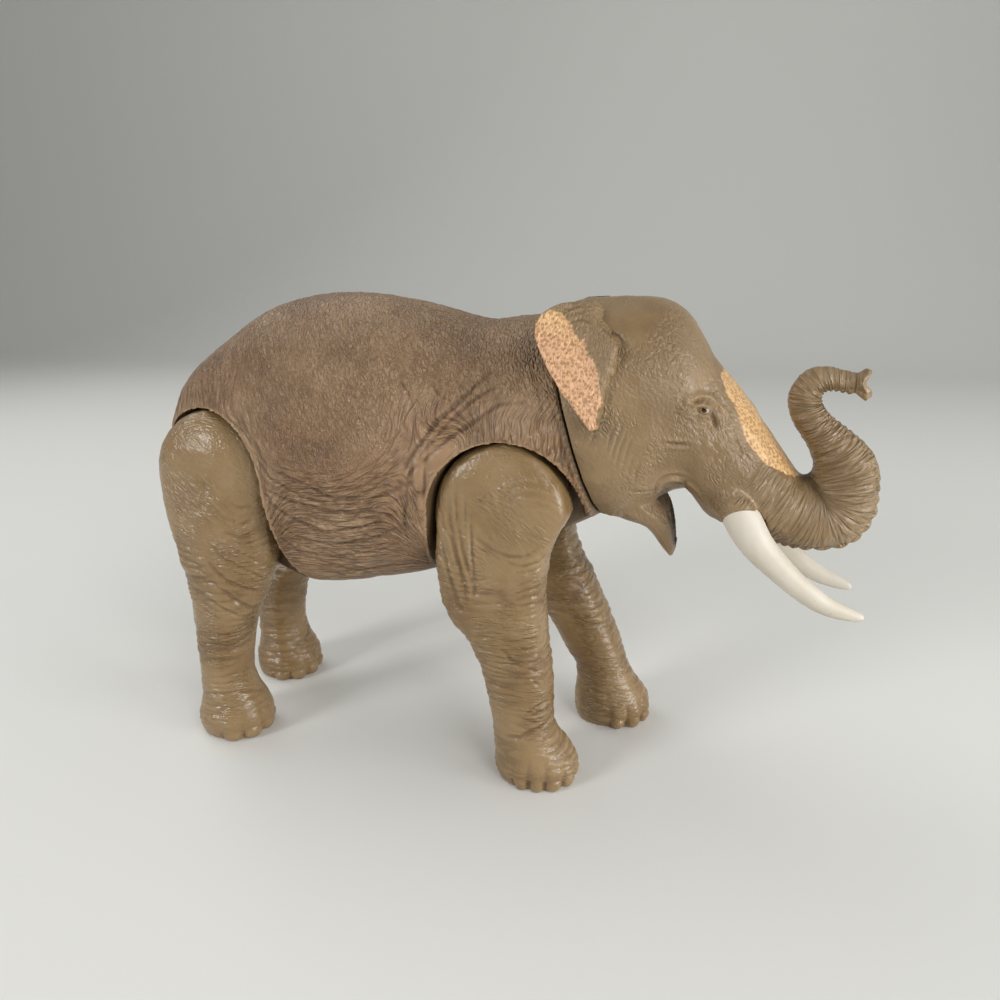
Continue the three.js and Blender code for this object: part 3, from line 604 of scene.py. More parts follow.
DOT_SIZE_SPAN = (0.35, 0.7)
DOT_SIZES = (0.4, 0.52)
DOT_EDGE = (0.06, -0.06)
DOT_SHARE = 0.62
PAINT_SCALE = 90.0
IVORY_SCALE = 70.0
IVORY_SPAN = (0.35, 0.7)
IVORY_ROUGHNESS = 0.5
IVORY_BUMP = 0.00012
IVORY_BUMP_SCALE = 230.0
SPECK_SCALE = 420.0
SPECK_SPAN = (0.69, 0.74)
SPECK_SHARE = 0.5
PLAIN_BUMP = 0.00004
PLAIN_BUMP_PACE = 6
BEND_SCALE = 0.5
BEND_REACH = (1.2, 1.2, 1.2)
WIDE_SHARE = 0.75
SMALL_SCALE = 1.9
CREASE_WIDTH = 0.3
PATCH_EDGE = (-0.7, 0.9)
# how much paler the trunk is made: painted light
TRUNK_PAINTED_LIGHT = 0.28


class Nodes:
    """A material's nodes, made and linked one after another."""

    def __init__(self, name):
        self.material = bpy.data.materials.new(name)
        self.material.use_nodes = True
        self.tree = self.material.node_tree
        self.shader = self.tree.nodes["Principled BSDF"]
        self.where = self.add("ShaderNodeTexCoord", "Object")

    def add(self, kind, output, inputs=(), **settings):
        """An output of a new node, from its settings and the values or links of its inputs."""
        node = self.tree.nodes.new(kind)
        for key, value in settings.items():
            setattr(node, key, value)
        for key, value in inputs:
            self.feed(node, key, value)
        return node.outputs[output]

    def feed(self, node, key, value):
        if isinstance(value, bpy.types.NodeSocket):
            self.tree.links.new(value, node.inputs[key])
        else:
            node.inputs[key].default_value = value

    def attribute(self, name, output="Fac"):
        return self.add("ShaderNodeAttribute", output, attribute_name=name)

    def math(self, operation, a, b):
        return self.add("ShaderNodeMath", 0, ((0, a), (1, b)), operation=operation)

    def noise(self, scale, where=None, detail=3.0, rough=0.55, output="Fac"):
        names = ("Scale", "Detail", "Roughness", "Vector")
        inputs = zip(names, (scale, detail, rough, where or self.where))
        return self.add("ShaderNodeTexNoise", output, inputs)

    def cells(self, scale, where=None, feature="F1", scatter=1.0):
        inputs = zip(("Scale", "Randomness", "Vector"), (scale, scatter, where or self.where))
        return self.add("ShaderNodeTexVoronoi", "Distance", inputs, feature=feature)

    def ramp(self, value, low, high, to_low=0.0, to_high=1.0):
        names = ("Value", "From Min", "From Max", "To Min", "To Max")
        inputs = zip(names, (value, low, high, to_low, to_high))
        return self.add("ShaderNodeMapRange", "Result", inputs, interpolation_type="SMOOTHSTEP")

    def mix(self, share, a, b):
        """A colour between two."""
        return self.add("ShaderNodeMix", 2, ((0, share), (6, a), (7, b)), data_type="RGBA")

    def blend(self, share, a, b):
        """A number between two."""
        return self.add("ShaderNodeMix", 0, ((0, share), (2, a), (3, b)), data_type="FLOAT")

    def bump(self, height, distance):
        return self.add("ShaderNodeBump", "Normal", (("Distance", distance), ("Height", height)))

    def wrinkles(self, where):
        """1 on the pads between fine creases about one unit apart, falling to 0 in the creases."""
        bend = self.noise(BEND_SCALE, where, detail=1.0, output="Color")
        inputs = ((0, bend), (1, BEND_REACH), (2, where))
        bent = self.add("ShaderNodeVectorMath", 0, inputs, operation="MULTIPLY_ADD")
        pads = []
        for scale, share in ((1.0, WIDE_SHARE), (SMALL_SCALE, 1 - WIDE_SHARE)):
            pad = self.ramp(self.cells(scale, bent, "DISTANCE_TO_EDGE"), 0.0, CREASE_WIDTH)
            pads.append(self.math("MULTIPLY", pad, share))
        return self.math("ADD", *pads)

    def spotted(self):
        """Pale painted skin with brown dots, warmer where the mark says so."""
        size = self.ramp(self.noise(DOT_SIZE_SCALE), *DOT_SIZE_SPAN, *DOT_SIZES)
        dot = self.ramp(self.math("SUBTRACT", self.cells(DOT_SCALE, scatter=DOT_SCATTER), size), *DOT_EDGE)
        warm = self.mix(self.attribute("warm"), self.mix(self.noise(PAINT_SCALE), *PAINTS), WARM_PAINT)
        return self.mix(self.math("MULTIPLY", dot, DOT_SHARE), warm, DOT_PAINT)

    def set(self, key, value):
        self.feed(self.shader, key, value)


def skin_material(name, base, lit, deep, rough, wash_and_shade, start, depth):
    """Moulded plastic skin with a dark wash and painted shade: paler on its pads, with a painted highlight
    on raised folds, darker in its creases.
    """
    m = Nodes(name)
    colour = m.mix(m.ramp(m.noise(TONE_SCALE, detail=5.0), *TONE_SPAN), base, lit)
    folds = m.wrinkles(m.attribute("flow", "Vector"))
    crackle = m.wrinkles(m.attribute("weave", "Vector"))
    pad = m.blend(m.attribute("lean"), crackle, folds)
    shown = m.attribute("shown")
    crease = m.math("MULTIPLY", m.math("SUBTRACT", 1.0, pad), shown)
    # the fine creases darkened: a dark wash and painted shade
    colour = m.mix(m.math("MULTIPLY", crease, CREASE_WASH_AND_SHADE), colour, deep)
    relief = m.attribute("relief")
    # the deeper creases darkened: a dark wash and painted shade
    colour = m.mix(m.ramp(relief, start, FULL_WASH_AND_SHADE_DEPTH, 0.0, wash_and_shade), colour, deep)
    # raised folds paler: a painted highlight
    colour = m.mix(m.ramp(relief, *LIT_RISE, 0.0, LIT_SHARE), colour, lit)
    colour = m.mix(m.attribute("patch"), colour, m.spotted())
    # painted shade in the mouth, the nostrils and the leg hollows
    colour = m.mix(m.attribute("dark"), colour, PAINTED_SHADE)
    worn = m.ramp(m.noise(WORN_SCALE, detail=2.0), *WORN_SPAN, *SCUFF_EDGES)
    scuff = m.ramp(m.math("SUBTRACT", m.noise(SCUFF_SCALE, detail=5.0, rough=0.7), worn), 0.0, SCUFF_FADE)
    colour = m.mix(m.math("MULTIPLY", scuff, SCUFF_SHARE), colour, SCUFFED)
    m.set("Base Color", colour)
    edges = [rough + change for change in GLOSS_CHANGE]
    m.set("Roughness", m.ramp(m.noise(GLOSS_SCALE), *GLOSS_SPAN, *edges))
    grain = m.math("MULTIPLY", m.noise(GRAIN_SCALE), GRAIN_SHARE)
    m.set("Normal", m.bump(m.math("ADD", m.math("MULTIPLY", pad, shown), grain), depth))
    return m.material


def ivory_material():
    m = Nodes("ivory_look")
    colour = m.mix(m.ramp(m.noise(IVORY_SCALE), *IVORY_SPAN), *IVORY)
    speck = m.ramp(m.noise(SPECK_SCALE, detail=4.0), *SPECK_SPAN)
    colour = m.mix(m.math("MULTIPLY", speck, SPECK_SHARE), colour, IVORY_SPECK)
    m.set("Base Color", colour)
    m.set("Roughness", IVORY_ROUGHNESS)
    m.set("Normal", m.bump(m.noise(IVORY_BUMP_SCALE), IVORY_BUMP))
    return m.material


def plain_material(name, colours, roughness, metallic, scale):
    m = Nodes(name)
    m.set("Base Color", m.mix(m.noise(scale), *colours))
    m.set("Roughness", roughness)
    m.set("Metallic", metallic)
    m.set("Normal", m.bump(m.noise(scale * PLAIN_BUMP_PACE), PLAIN_BUMP))
    return m.material


body_look = skin_material("body_look", *BODY_LOOK)
head_look = skin_material("head_look", *HEAD_LOOK)
leg_look = skin_material("leg_look", *LEG_LOOK)
ivory_look = ivory_material()


# Torso

SIDES = ((-1, "right"), (1, "left"))
TORSO_ROUNDS = 40
FOLD_MIDDLE = (-48.0, 135.0)
FOLD_WIDTH = 1.33
FOLD_SPREAD = 0.012
RIM_REACH = 9.0
RIM_FLOW = 27.0
RIM_SIDE = 16.0
SHOULDER_RADIUS = 24.0
HIP_RADIUS = 25.0
LEG_JOINTS = ((SHOULDER, SHOULDER_RADIUS, -1), (HIP, HIP_RADIUS, 1))
POCKET_GAP = 1.4
POCKET_FLARE = math.tan(math.radians(8))
POCKET_TURN = 0.6
POCKET_FLOOR = 18.0
POCKET_SHADE = 0.8
NECK_FACE = 1.2
NECK_HOLE = 7.5
PIN_HOLE = 5.5
PIN_HOLE_SPAN = (8, 16.4)
TAIL_HOLE = ((-123.4, 0, 122.1), (-118.5, 0, 122.1), 5)
NECK_BORE = 6.3
PIN_BORE = 4.3
PIN_SPAN = (18, 10)
WASHER_BORE = 8.2
WASHER_SPAN = (13.8, 8)
TORSO_HOLLOW = 11.8
TORSO_HOLLOW_SPAN = (2.7, 9)
NECK_BORE_SPAN = (-1, 6)
NECK_PLUG_SPAN = (0.3, 9)
SEAM_RISE = 0.12
SEAM_WIDTH = 0.7
SWELL = 0.3
TORSO_SWELLS = (16, 7)
TORSO_CHANGE = (15, 3)
TORSO_SHOWN = (0.6, 0.3, 11, 31, -0.4, 0.5)
BACK_SLANT = 0.35
BACK_FOLDS = (1.9, 2.2, 23, 0.36, 0.7)
BACK_MARKS = (1.3, 2.0)
BACK_DEPTH = 0.24
FLANK_FOLDS = (2.3, 5.5, 11, 0.3, 0.75)
FLANK_MARKS = (1.5, 6.0)
FLANK_DEPTHS = (0.1, 0.46, 0.6)
FLANK_FROM = (12, 26)
FLANK_BELOW = (152, 132)


def spaced(across, along, other, pace, stretch):
    """Coordinates in which creases are about one unit apart, and longer than that along themselves."""
    return np.stack([across / pace, along / (pace * stretch), other / (pace * stretch)], 1)


def creased(across, along, other, pattern):
    """Creases about 0 from the pace, stretch, seed and softness of a pattern, and its middle level."""
    pace, stretch, seed, soft, level = pattern
    return pads(spaced(across, along, other, pace, stretch), seed, soft) - level


def torso_flow(points):
    """A measure that runs across the folds of the flank: they hang in long curves between the legs."""
    x, z = points[:, 0], points[:, 2]
    above = z - FOLD_MIDDLE[1]
    beside = (x - FOLD_MIDDLE[0]) / (FOLD_WIDTH + FOLD_SPREAD * np.clip(above, 0, None))
    flow = np.hypot(beside, np.clip(-above, 0, None))
    for joint, radius, way in LEG_JOINTS:
        gap = np.hypot(x - joint[0], z - joint[2]) - radius
        share = hump(gap, width=RIM_REACH) * ramp(way * (x - joint[0]), 0, RIM_SIDE)
        flow = flow * (1 - share) + (RIM_FLOW - gap) * share
    return flow


def in_pocket(points, normals, joint, radius):
    """True on the hidden faces of the hollow that a leg turns in."""
    wide = radius + POCKET_GAP
    beside, above = np.abs(points[:, 0] - joint[0]), points[:, 2] - joint[2]
    round_top = np.hypot(beside, above) < wide
    below = (above < 0) & (beside < wide - POCKET_FLARE * above)
    hidden = (np.abs(normals[:, 1]) < POCKET_TURN) | (np.abs(points[:, 1]) < POCKET_FLOOR)
    return (round_top | below) & hidden


TORSO_FOLDS = [
    ([(490, 372), (462, 398), (435, 423), (414, 452), (397, 482)], 1.0, -0.55),
    ([(525, 402), (497, 405), (472, 423), (452, 436), (438, 448), (415, 468), (397, 487)], 0.95, -0.5),
    ([(500, 384), (470, 402), (447, 424), (424, 450), (406, 478)], 0.75, -0.35),
    ([(247, 407), (252, 432), (260, 457), (272, 470), (288, 478), (330, 497), (380, 497), (413, 482)],
     0.8, -0.45),
    ([(252, 473), (262, 488), (280, 498), (330, 512), (372, 510), (404, 497)], 0.8, -0.5),
    ([(260, 490), (272, 506), (288, 517), (323, 532), (363, 528), (396, 512)], 0.8, -0.5),
    ([(267, 515), (280, 527), (297, 537), (330, 545), (372, 540), (405, 524)], 0.75, -0.45),
    ([(276, 536), (300, 552), (335, 558), (376, 552), (412, 538)], 0.75, -0.4),
    ([(246, 430), (254, 455), (268, 478), (292, 492), (326, 504)], 0.65, -0.35),
    ([(397, 377), (408, 392), (413, 410)], 0.6, -0.3),
    ([(427, 380), (440, 395), (452, 402)], 0.6, -0.3),
    ([(455, 380), (468, 392), (480, 398)], 0.6, -0.3),
    ([(240, 330), (258, 322), (280, 308), (300, 300)], 0.9, 0.22),
    ([(310, 580), (353, 573), (380, 567), (437, 562)], 0.7, -0.4),
    ([(430, 440), (424, 470), (424, 510), (428, 545)], 0.8, -0.4),
    ([(414, 452), (406, 490), (404, 525), (410, 550)], 0.7, -0.3),
    ([(548, 395), (556, 420), (562, 448), (572, 480)], 0.9, -0.35),
    ([(532, 372), (540, 400), (545, 430)], 0.8, -0.3),
]


def neck_rod(start, end, radius):
    """A rod on the neck's axis between two distances behind the joint."""
    return cylinder(NECK - start * NECK_AXIS, NECK - end * NECK_AXIS, radius)


def leg_rod(joint, side, span, radius):
    """A rod on a leg's axis between two distances from the parting plane."""
    return cylinder(*((joint[0], side * y, joint[2]) for y in span), radius)


def torso_plugs():
    """What closes the small holes of the torso, so that only its outside is covered with skin."""
    holes = [leg_rod(joint, side, PIN_HOLE_SPAN, PIN_HOLE) for joint in (SHOULDER, HIP) for side in (-1, 1)]
    return [neck_rod(*NECK_PLUG_SPAN, NECK_HOLE), cylinder(*TAIL_HOLE), *holes]


def torso_bores(side):
    """Where the pins and the washers turn on one side of the torso."""
    narrow = [leg_rod(joint, side, PIN_SPAN, PIN_BORE) for joint in (SHOULDER, HIP)]
    wide = [leg_rod(joint, side, WASHER_SPAN, WASHER_BORE) for joint in (SHOULDER, HIP)]
    return [joined([neck_rod(*NECK_BORE_SPAN, NECK_BORE), *narrow]),
            joined([neck_rod(*TORSO_HOLLOW_SPAN, TORSO_HOLLOW), *wide])]


def build_torso():
    skin = Skin(["torso_shell_right", "torso_shell_left"], TORSO_GRAIN, TORSO_ROUNDS, plugs=torso_plugs())
    points = skin.near
    x, y, z = points.T
    hidden = (points - NECK) @ NECK_AXIS > -NECK_FACE
    for joint, radius, _ in LEG_JOINTS:
        hidden |= in_pocket(points, skin.normals, joint, radius)
    show = np.where(hidden, 0, ramp(skin.off_rim, 0, 1))
    flow = torso_flow(points)
    slant = x + BACK_SLANT * z
    low = ramp(flow, *FLANK_FROM) * ramp(z, *FLANK_BELOW)
    least, more, change = FLANK_DEPTHS
    depth = (least + more * low) * (1 + change * lumps(points, *TORSO_CHANGE))
    creases = creased(flow, x, z, FLANK_FOLDS) * depth
    creases += creased(slant, y, z, BACK_FOLDS) * BACK_DEPTH * (1 - low)
    creases = (creases + drawn(skin, skin.tree(), TORSO_FOLDS)) * show
    seam = SEAM_RISE * hump(skin.points[:, 1], width=SEAM_WIDTH)
    skin.marks["relief"] = creases
    # painted shade on the hidden faces at the neck and in the leg hollows
    skin.marks["dark"] = POCKET_SHADE * hidden
    skin.marks["flow"] = spaced(flow, x, z, *FLANK_MARKS)
    skin.marks["weave"] = spaced(slant, y, z, *BACK_MARKS)
    skin.marks["lean"] = low
    skin.marks["shown"] = show * varied(points, *TORSO_SHOWN)
    skin.move(creases + (SWELL * lumps(points, *TORSO_SWELLS) + seam) * show)
    for side, name in SIDES:
        finished(f"torso_skin_{name}", skin, "torso", [f"torso_shell_{name}"], body_look,
                 cutters=torso_bores(side), side=side)


# Legs

LEG_ROUNDS = 16
LEG_TOP = 135.0
LEVEL_STEP = 3.0
LEVEL_REACH = 2.0
LEG_FOLDS = (2.8, 6.0, 41, 0.36, 0.72)
DISC_FOLDS = (2.1, 3.0, 43, 0.4, 0.7)
LEG_MARKS = (1.5, 4.5)
DISC_MARKS = (1.5, 3.0)
LEG_SWELLS = (12, 9)
LEG_CHANGE = (0, 1, 13, 5, -0.8, 0.4)
LEG_SHOWN = (0.06, 0.34, 9, 33, -0.3, 0.6)
DISC_EDGE = 25.0
DISC_FADE = 12.0
DISC_SLANT = (0.55, 0.83)
DISC_DEPTHS = (0.06, 0.26)
DISC_CALM = 0.3
BOW_LEVEL = 60
BOWS = (0.22, 0.35, 0.75)
FLOW_ABOVE = 6
LEG_DEPTHS = (0.3, 0.5, 0.15)
THIGH = (2, -34)
SHIN = (52, 26)
RIPPLE = (12, -4)
STEP_SPAN = 6.0
STEP_ROUNDS = 60
STEP_SIDE = (21, 18)
STEP_CLEAR = 12.0
RIM_SHOW = 0.6
SOLE = 3.0
SOLE_FADE = (0.4, 2.5)
INNER_FACE = 17.7
TOP_TURN = 0.55
TOP_DROP = 4.0
TOP_SHOW = 0.3
FOOT_TOP = 9.0
NAIL_MIDDLE = 2.4
NAIL_HALF = 2.3
NAIL_WIDTH = 0.84
NAIL_EDGE = (1.3, 0.4)
NAIL_DOME = (1.3, 0.2)
NAIL_RISE = 0.7
NAIL_GROOVE = 0.3
NAIL_GROOVE_PLACE = (1.7, 0.4)
# how much paler the nails are made: a painted highlight
NAIL_HIGHLIGHT = 0.3
TOE_RISE = 0.7
TOE_WIDTH = 0.8
TOE_GROOVE = 0.3
TOE_GROOVE_WIDTH = 0.25
TOE_FADE = (15, 6)
GROOVE_FADE = (16, 5)
FOOT_FADE = (15, 10)
NAIL_FADE = (0.1, 1.0)
FRONT_TOES = (-104, -76, -48, -20, 10, 40, 70)
HIND_TOES = (-66, -29, 8, 42, 76)
FRONT_FLAT_FROM = 66
HIND_FLAT_FROM = 53
FRONT_LEG_FOLDS = [
    ([(440, 522), (450, 537), (457, 562), (465, 585), (466, 605)], 0.9, -0.55),
    ([(460, 525), (462, 550), (470, 575), (475, 597)], 0.9, -0.5),
    ([(470, 515), (471, 537), (472, 562), (475, 582), (474, 596)], 0.8, -0.5),
    ([(445, 562), (450, 582), (457, 605), (465, 615)], 0.8, -0.45),
    ([(452, 560), (460, 580), (462, 600)], 0.7, -0.35),
    ([(447, 497), (450, 520), (455, 545), (461, 575), (467, 600)], 0.8, -0.45),
    ([(454, 488), (456, 512), (459, 538)], 0.8, -0.4),
    ([(464, 493), (465, 515), (466, 535)], 0.7, -0.35),
    ([(441, 542), (446, 563), (452, 583), (458, 600)], 0.7, -0.4),
    ([(467, 520), (468, 545), (470, 570), (471, 590)], 0.7, 0.35),
    ([(443, 510), (447, 535), (453, 560)], 0.8, 0.3),
    ([(475, 537), (490, 550), (507, 557), (525, 557), (542, 547)], 0.9, -0.5),
    ([(477, 546), (490, 555), (502, 561)], 0.8, -0.4),
    ([(505, 562), (522, 567), (540, 562), (550, 550)], 0.8, -0.5),
    ([(512, 572), (530, 572), (542, 567)], 0.8, -0.4),
    ([(515, 587), (527, 582), (542, 577)], 0.8, -0.4),
    ([(515, 594), (530, 589), (544, 585)], 0.8, -0.4),
    ([(517, 600), (532, 597), (545, 592)], 0.8, -0.4),
    ([(520, 607), (535, 604), (546, 600)], 0.8, -0.4),
    ([(500, 605), (515, 610)], 0.7, -0.3),
    ([(502, 630), (517, 627)], 0.7, -0.3),
    ([(502, 640), (517, 642), (532, 640), (542, 637)], 0.8, -0.4),
    ([(515, 647), (530, 650), (545, 645)], 0.8, -0.4),
    ([(502, 650), (512, 662), (525, 670)], 0.8, -0.4),
    ([(525, 660), (532, 662), (545, 660)], 0.7, -0.35),
    ([(525, 667), (535, 672), (545, 675)], 0.7, -0.35),
    ([(532, 680), (540, 687)], 0.7, -0.3),
    ([(525, 715), (537, 707), (550, 700)], 0.8, -0.45),
    ([(530, 717), (542, 712), (552, 705)], 0.8, -0.45),
    ([(532, 722), (545, 717), (552, 712)], 0.8, -0.45),
    ([(505, 736), (520, 738), (535, 730), (550, 722)], 0.9, -0.5),
    ([(477, 500), (480, 502), (483, 500)], 1.0, -0.35),
    ([(500, 490), (512, 482), (528, 479), (544, 486)], 1.0, 0.4),
    ([(502, 499), (516, 491), (532, 489), (550, 498)], 1.0, 0.4),
    ([(506, 508), (520, 500), (536, 499), (552, 508)], 1.0, 0.4),
    ([(512, 517), (526, 510), (542, 510), (553, 518)], 1.0, 0.35),
    ([(488, 478), (494, 496), (498, 514)], 1.0, 0.3),
]
HIND_LEG_FOLDS = [
    ([(208, 544), (218, 556), (236, 566), (254, 574), (270, 584)], 0.9, -0.5),
    ([(206, 558), (216, 572), (230, 584), (246, 590), (262, 592), (272, 588)], 1.0, -0.6),
    ([(210, 582), (222, 590), (236, 602), (250, 608), (262, 606), (270, 600)], 1.0, -0.55),
    ([(196, 590), (208, 598), (222, 608), (238, 616), (254, 617)], 0.9, -0.5),
    ([(190, 600), (200, 606), (212, 614), (220, 620)], 0.8, -0.4),
    ([(210, 546), (226, 556), (246, 562)], 0.8, -0.4),
    ([(218, 544), (238, 552), (258, 562), (270, 566)], 0.8, -0.4),
    ([(190, 576), (208, 580)], 0.8, -0.35),
    ([(200, 678), (224, 677), (248, 670)], 0.7, -0.4),
    ([(201, 683), (226, 684), (252, 678)], 0.7, -0.45),
    ([(201, 688), (228, 689), (254, 683)], 0.7, -0.45),
    ([(202, 692), (218, 694), (240, 691), (262, 689)], 0.9, -0.6),
    ([(236, 670), (244, 667), (252, 662)], 0.7, -0.35),
    ([(225, 502), (240, 508), (255, 505)], 0.9, -0.35),
    ([(224, 518), (240, 524), (256, 520)], 0.9, -0.35),
    ([(222, 532), (240, 538), (258, 534)], 0.9, -0.35),
    ([(202, 478), (214, 488), (226, 502)], 1.2, 0.35),
    ([(204, 496), (216, 506), (230, 518)], 1.2, 0.35),
    ([(200, 512), (212, 520), (222, 530)], 1.1, 0.3),
]


def centre_line(skin):
    """The leg's middle along X at any height."""
    levels = np.arange(0.0, LEG_TOP, LEVEL_STEP)
    z = skin.points[:, 2]
    middle = []
    for level in levels:
        x = skin.points[np.abs(z - level) < LEVEL_REACH, 0]
        middle.append((x.min() + x.max()) / 2 if len(x) else middle[-1])
    return lambda height: np.interp(height, levels, middle)


def toes(points, turns):
    """Toes and their nails round a foot, as heights over the skin; turns are degrees from ahead."""
    foot = points[points[:, 2] < FOOT_TOP, :2]
    away = points[:, :2] - (foot.min(0) + foot.max(0)) / 2
    angle = np.degrees(np.arctan2(away[:, 1], away[:, 0]))
    z = points[:, 2]
    half = abs(turns[1] - turns[0]) / 2
    height = np.zeros(len(points))
    nails = np.zeros(len(points))
    for turn in turns:
        beside = np.abs((angle - turn + 180) % 360 - 180) / half
        spot = (beside / NAIL_WIDTH) ** 2 + ((z - NAIL_MIDDLE) / NAIL_HALF) ** 2
        nails += ramp(spot, *NAIL_EDGE)
        height += NAIL_RISE * ramp(spot, *NAIL_DOME) - NAIL_GROOVE * hump(spot, *NAIL_GROOVE_PLACE)
        height += TOE_RISE * hump(beside, width=TOE_WIDTH) * ramp(z, *TOE_FADE)
        height -= TOE_GROOVE * hump(beside, 1, TOE_GROOVE_WIDTH) * ramp(z, *GROOVE_FADE)
    return height * ramp(z, *FOOT_FADE) * ramp(z, *NAIL_FADE), nails


def leg_creases(points, line, joint):
    """Height of the creases round a leg, and the marks of its finer ones."""
    x, y, z = points.T
    top = joint[2]
    disc = ramp(np.hypot(x - joint[0], z - top), DISC_EDGE, DISC_EDGE - DISC_FADE)
    beside = (x - line(z)) * np.interp(z, [0, BOW_LEVEL, top], BOWS)
    flow = np.hypot(beside, top + FLOW_ABOVE - z)
    slant = DISC_SLANT[0] * x + DISC_SLANT[1] * z
    least, thigh, shin = LEG_DEPTHS
    strength = least + thigh * ramp(z, *(top + t for t in THIGH)) - shin * ramp(z, *SHIN)
    height = creased(flow, x, y, LEG_FOLDS) * strength * varied(points, *LEG_CHANGE) * (1 - disc)
    depth = DISC_DEPTHS[0] + DISC_DEPTHS[1] * ramp(z, *(top + r for r in RIPPLE))
    height += creased(slant, y, x, DISC_FOLDS) * depth * disc
    marks = {
        "flow": spaced(flow, x, y, *LEG_MARKS),
        "weave": spaced(slant, y, x, *DISC_MARKS),
        "lean": 1 - disc,
        "shown": varied(points, *LEG_SHOWN) * (1 - DISC_CALM * disc),
    }
    return height, marks


def build_leg(kind, side, side_name, joint, folds, near, flat_from, turns):
    skin = Skin([f"{kind}_leg_{side_name}"], LEG_GRAIN, LEG_ROUNDS,
                keep=lambda p: p[2] > flat_from + STEP_CLEAR or p[2] < SOLE)
    line = centre_line(skin)
    near = near or (skin.tree(), line)
    places = skin.near
    places[:, 0] += near[1](places[:, 2]) - line(places[:, 2])
    y, z = np.abs(skin.points[:, 1]), skin.points[:, 2]
    skin.soften(hump(z, flat_from, STEP_SPAN) * ramp(y, *STEP_SIDE), STEP_ROUNDS)
    points = skin.points
    inner = (np.abs(points[:, 1]) < INNER_FACE) & (z > flat_from + STEP_SPAN)
    rim = (np.abs(skin.normals[:, 1]) < TOP_TURN) & (z > joint[2] - TOP_DROP)
    show = np.where(inner, 0, ramp(skin.off_rim, 0, RIM_SHOW)) * np.where(rim, TOP_SHOW, 1)
    show *= ramp(z, *SOLE_FADE)
    creases, marks = leg_creases(points, line, joint)
    creases = (creases + drawn(skin, near[0], folds, places)) * show
    foot, nails = toes(points, [-side * t for t in turns])
    # the nails paler: a painted highlight
    skin.marks.update(marks, relief=creases + NAIL_HIGHLIGHT * nails)
    skin.marks["shown"] = marks["shown"] * np.where(inner, 1, show) * (1 - nails)
    skin.move(creases + SWELL * lumps(points, *LEG_SWELLS) * show + foot)
    finished(f"{kind}_leg_skin_{side_name}", skin, f"{kind}_leg_{side_name}_body",
             [f"{kind}_leg_{side_name}"], leg_look)
    return near


def build_legs():
    for kind, joint, folds, flat_from, turns in (
        ("front", SHOULDER, FRONT_LEG_FOLDS, FRONT_FLAT_FROM, FRONT_TOES),
        ("hind", HIP, HIND_LEG_FOLDS, HIND_FLAT_FROM, HIND_TOES),
    ):
        near = None
        for side, name in SIDES:
            near = build_leg(kind, side, name, joint, folds, near, flat_from, turns)


# Head

HEAD_ROUNDS = 30
HEAD_CALM = (78, 92, 0.85)
TRUNK_LINE = [(79.1, 125), (89.1, 115), (104.1, 105), (116.1, 100), (122.1, 105), (121.1, 115), (114.1, 125),
              (107.1, 135), (107.1, 142), (113.1, 146), (124.1, 145)]
TRUNK_START = 9.0
TRUNK_FADE = 10.0
TRUNK_SIDE = (76, 88)
TRUNK_STEP = 2.0
TRUNK_ROUNDS = 3
TRUNK_BLEND = 14.0
TRUNK_TIP = (124.7, 144.6)
TIP_SPAN = (9, 7)
TIP_REACH = (8, 6)
FLARE = (1.1, 0.7, 1.1)
WAIST = (0.4, 3.6, 1.3)
NOTCH = (0.6, 2.2, 2.2)
NOTCH_REACH = (2.4, 0.4)
NOSTRIL_ASIDE = 1.5
NOSTRIL_SIZE = (0.9, 1.4)
NOSTRIL_DEPTH = 0.9
NOSTRIL_TURN = (0.4, 0.8)
FLARE_TURN = (0.9, 0.5)
RING_PLACES = [0, 30, 75, 120]
RING_PACES = [2.2, 2.1, 1.8, 1.5]
RING_FOLDS = (9.0, 71, 0.4, 0.7)
RING_DEPTH = 0.3
BEAD_TURN = math.radians(30)
BEAD_PITCH = 2.35
BEAD_SIZE = 1.3
BEAD_RISE = 0.95
BEAD_FROM = (14, 24)
BEAD_POWER = 0.7
BEAD_ROW = 1.5
BEAD_ROW_DEPTH = 0.3
TRUNK_MARKS = (1.5, 8.0)
TRUNK_SHOWN = 0.5
TRUNK_CALM = 0.6
FACE_MARKS = (1.3, 1.8)
FACE_SLANT = (0.8, 0.3)
FACE_SHOWN = (0.05, 0.2, 9, 35, -0.3, 0.6)
FACE_SWELLS = ((0.28, 12, 17), (0.14, 4, 18))
PATCH_WOBBLES = ((1.4, 1.6, 27), (1.2, 4, 28))
FACE_PACES = np.array([2.6, 3.4, 4.2])
FACE_PADS = (61, 0.4)
FACE_LEVEL = 0.7
FACE_DEPTHS = (0.05, 0.1)
FACE_FROM = (60, 45)
JAW_BELOW = (96, 88)
JAW_BEHIND = (80, 70)
JAW_CALM = 0.5
CHEEK = (712, 447)
CHEEK_REACH = 18.0
CHEEK_DEPTH = 0.3
CHEEK_LUMPS = (1.9, 63)
LIP = (742, 506)
LIP_REACH = 19.0
LIP_CALM = 0.95
LIP_EDGE = [(722, 518), (740, 509.5), (759, 514)]
SHEATH_CUT = 7.8
SHEATH_SHIFT = np.array([-0.8, -1.8, 0])
SHEATH_REACH = 30.0
TUSK_ROOT_SPAN = 3.0
TUSK_WAY_SPAN = (14, 24)
EYE_PIXEL = (703, 411)
EYE_RADIUS = 2.0
EYE_DEPTH = 0.7
SOCKET_DEPTH = 1.4
SOCKET_SIZE = (1.7, 0.75)
SOCKET_REACH = 4.0
SOCKET_TILT = (0.97, 0.24)
BROW_BEND = 0.74
BROW_LEVEL = 119.5
BROW_LIMIT = (106.5, 104.5)
MOUTH_FROM = (63, 67)
MOUTH_EDGE = (-0.6, 0.6)
MOUTH_WOBBLE = 0.5
MOUTH_TURN = (0.75, 0.4)
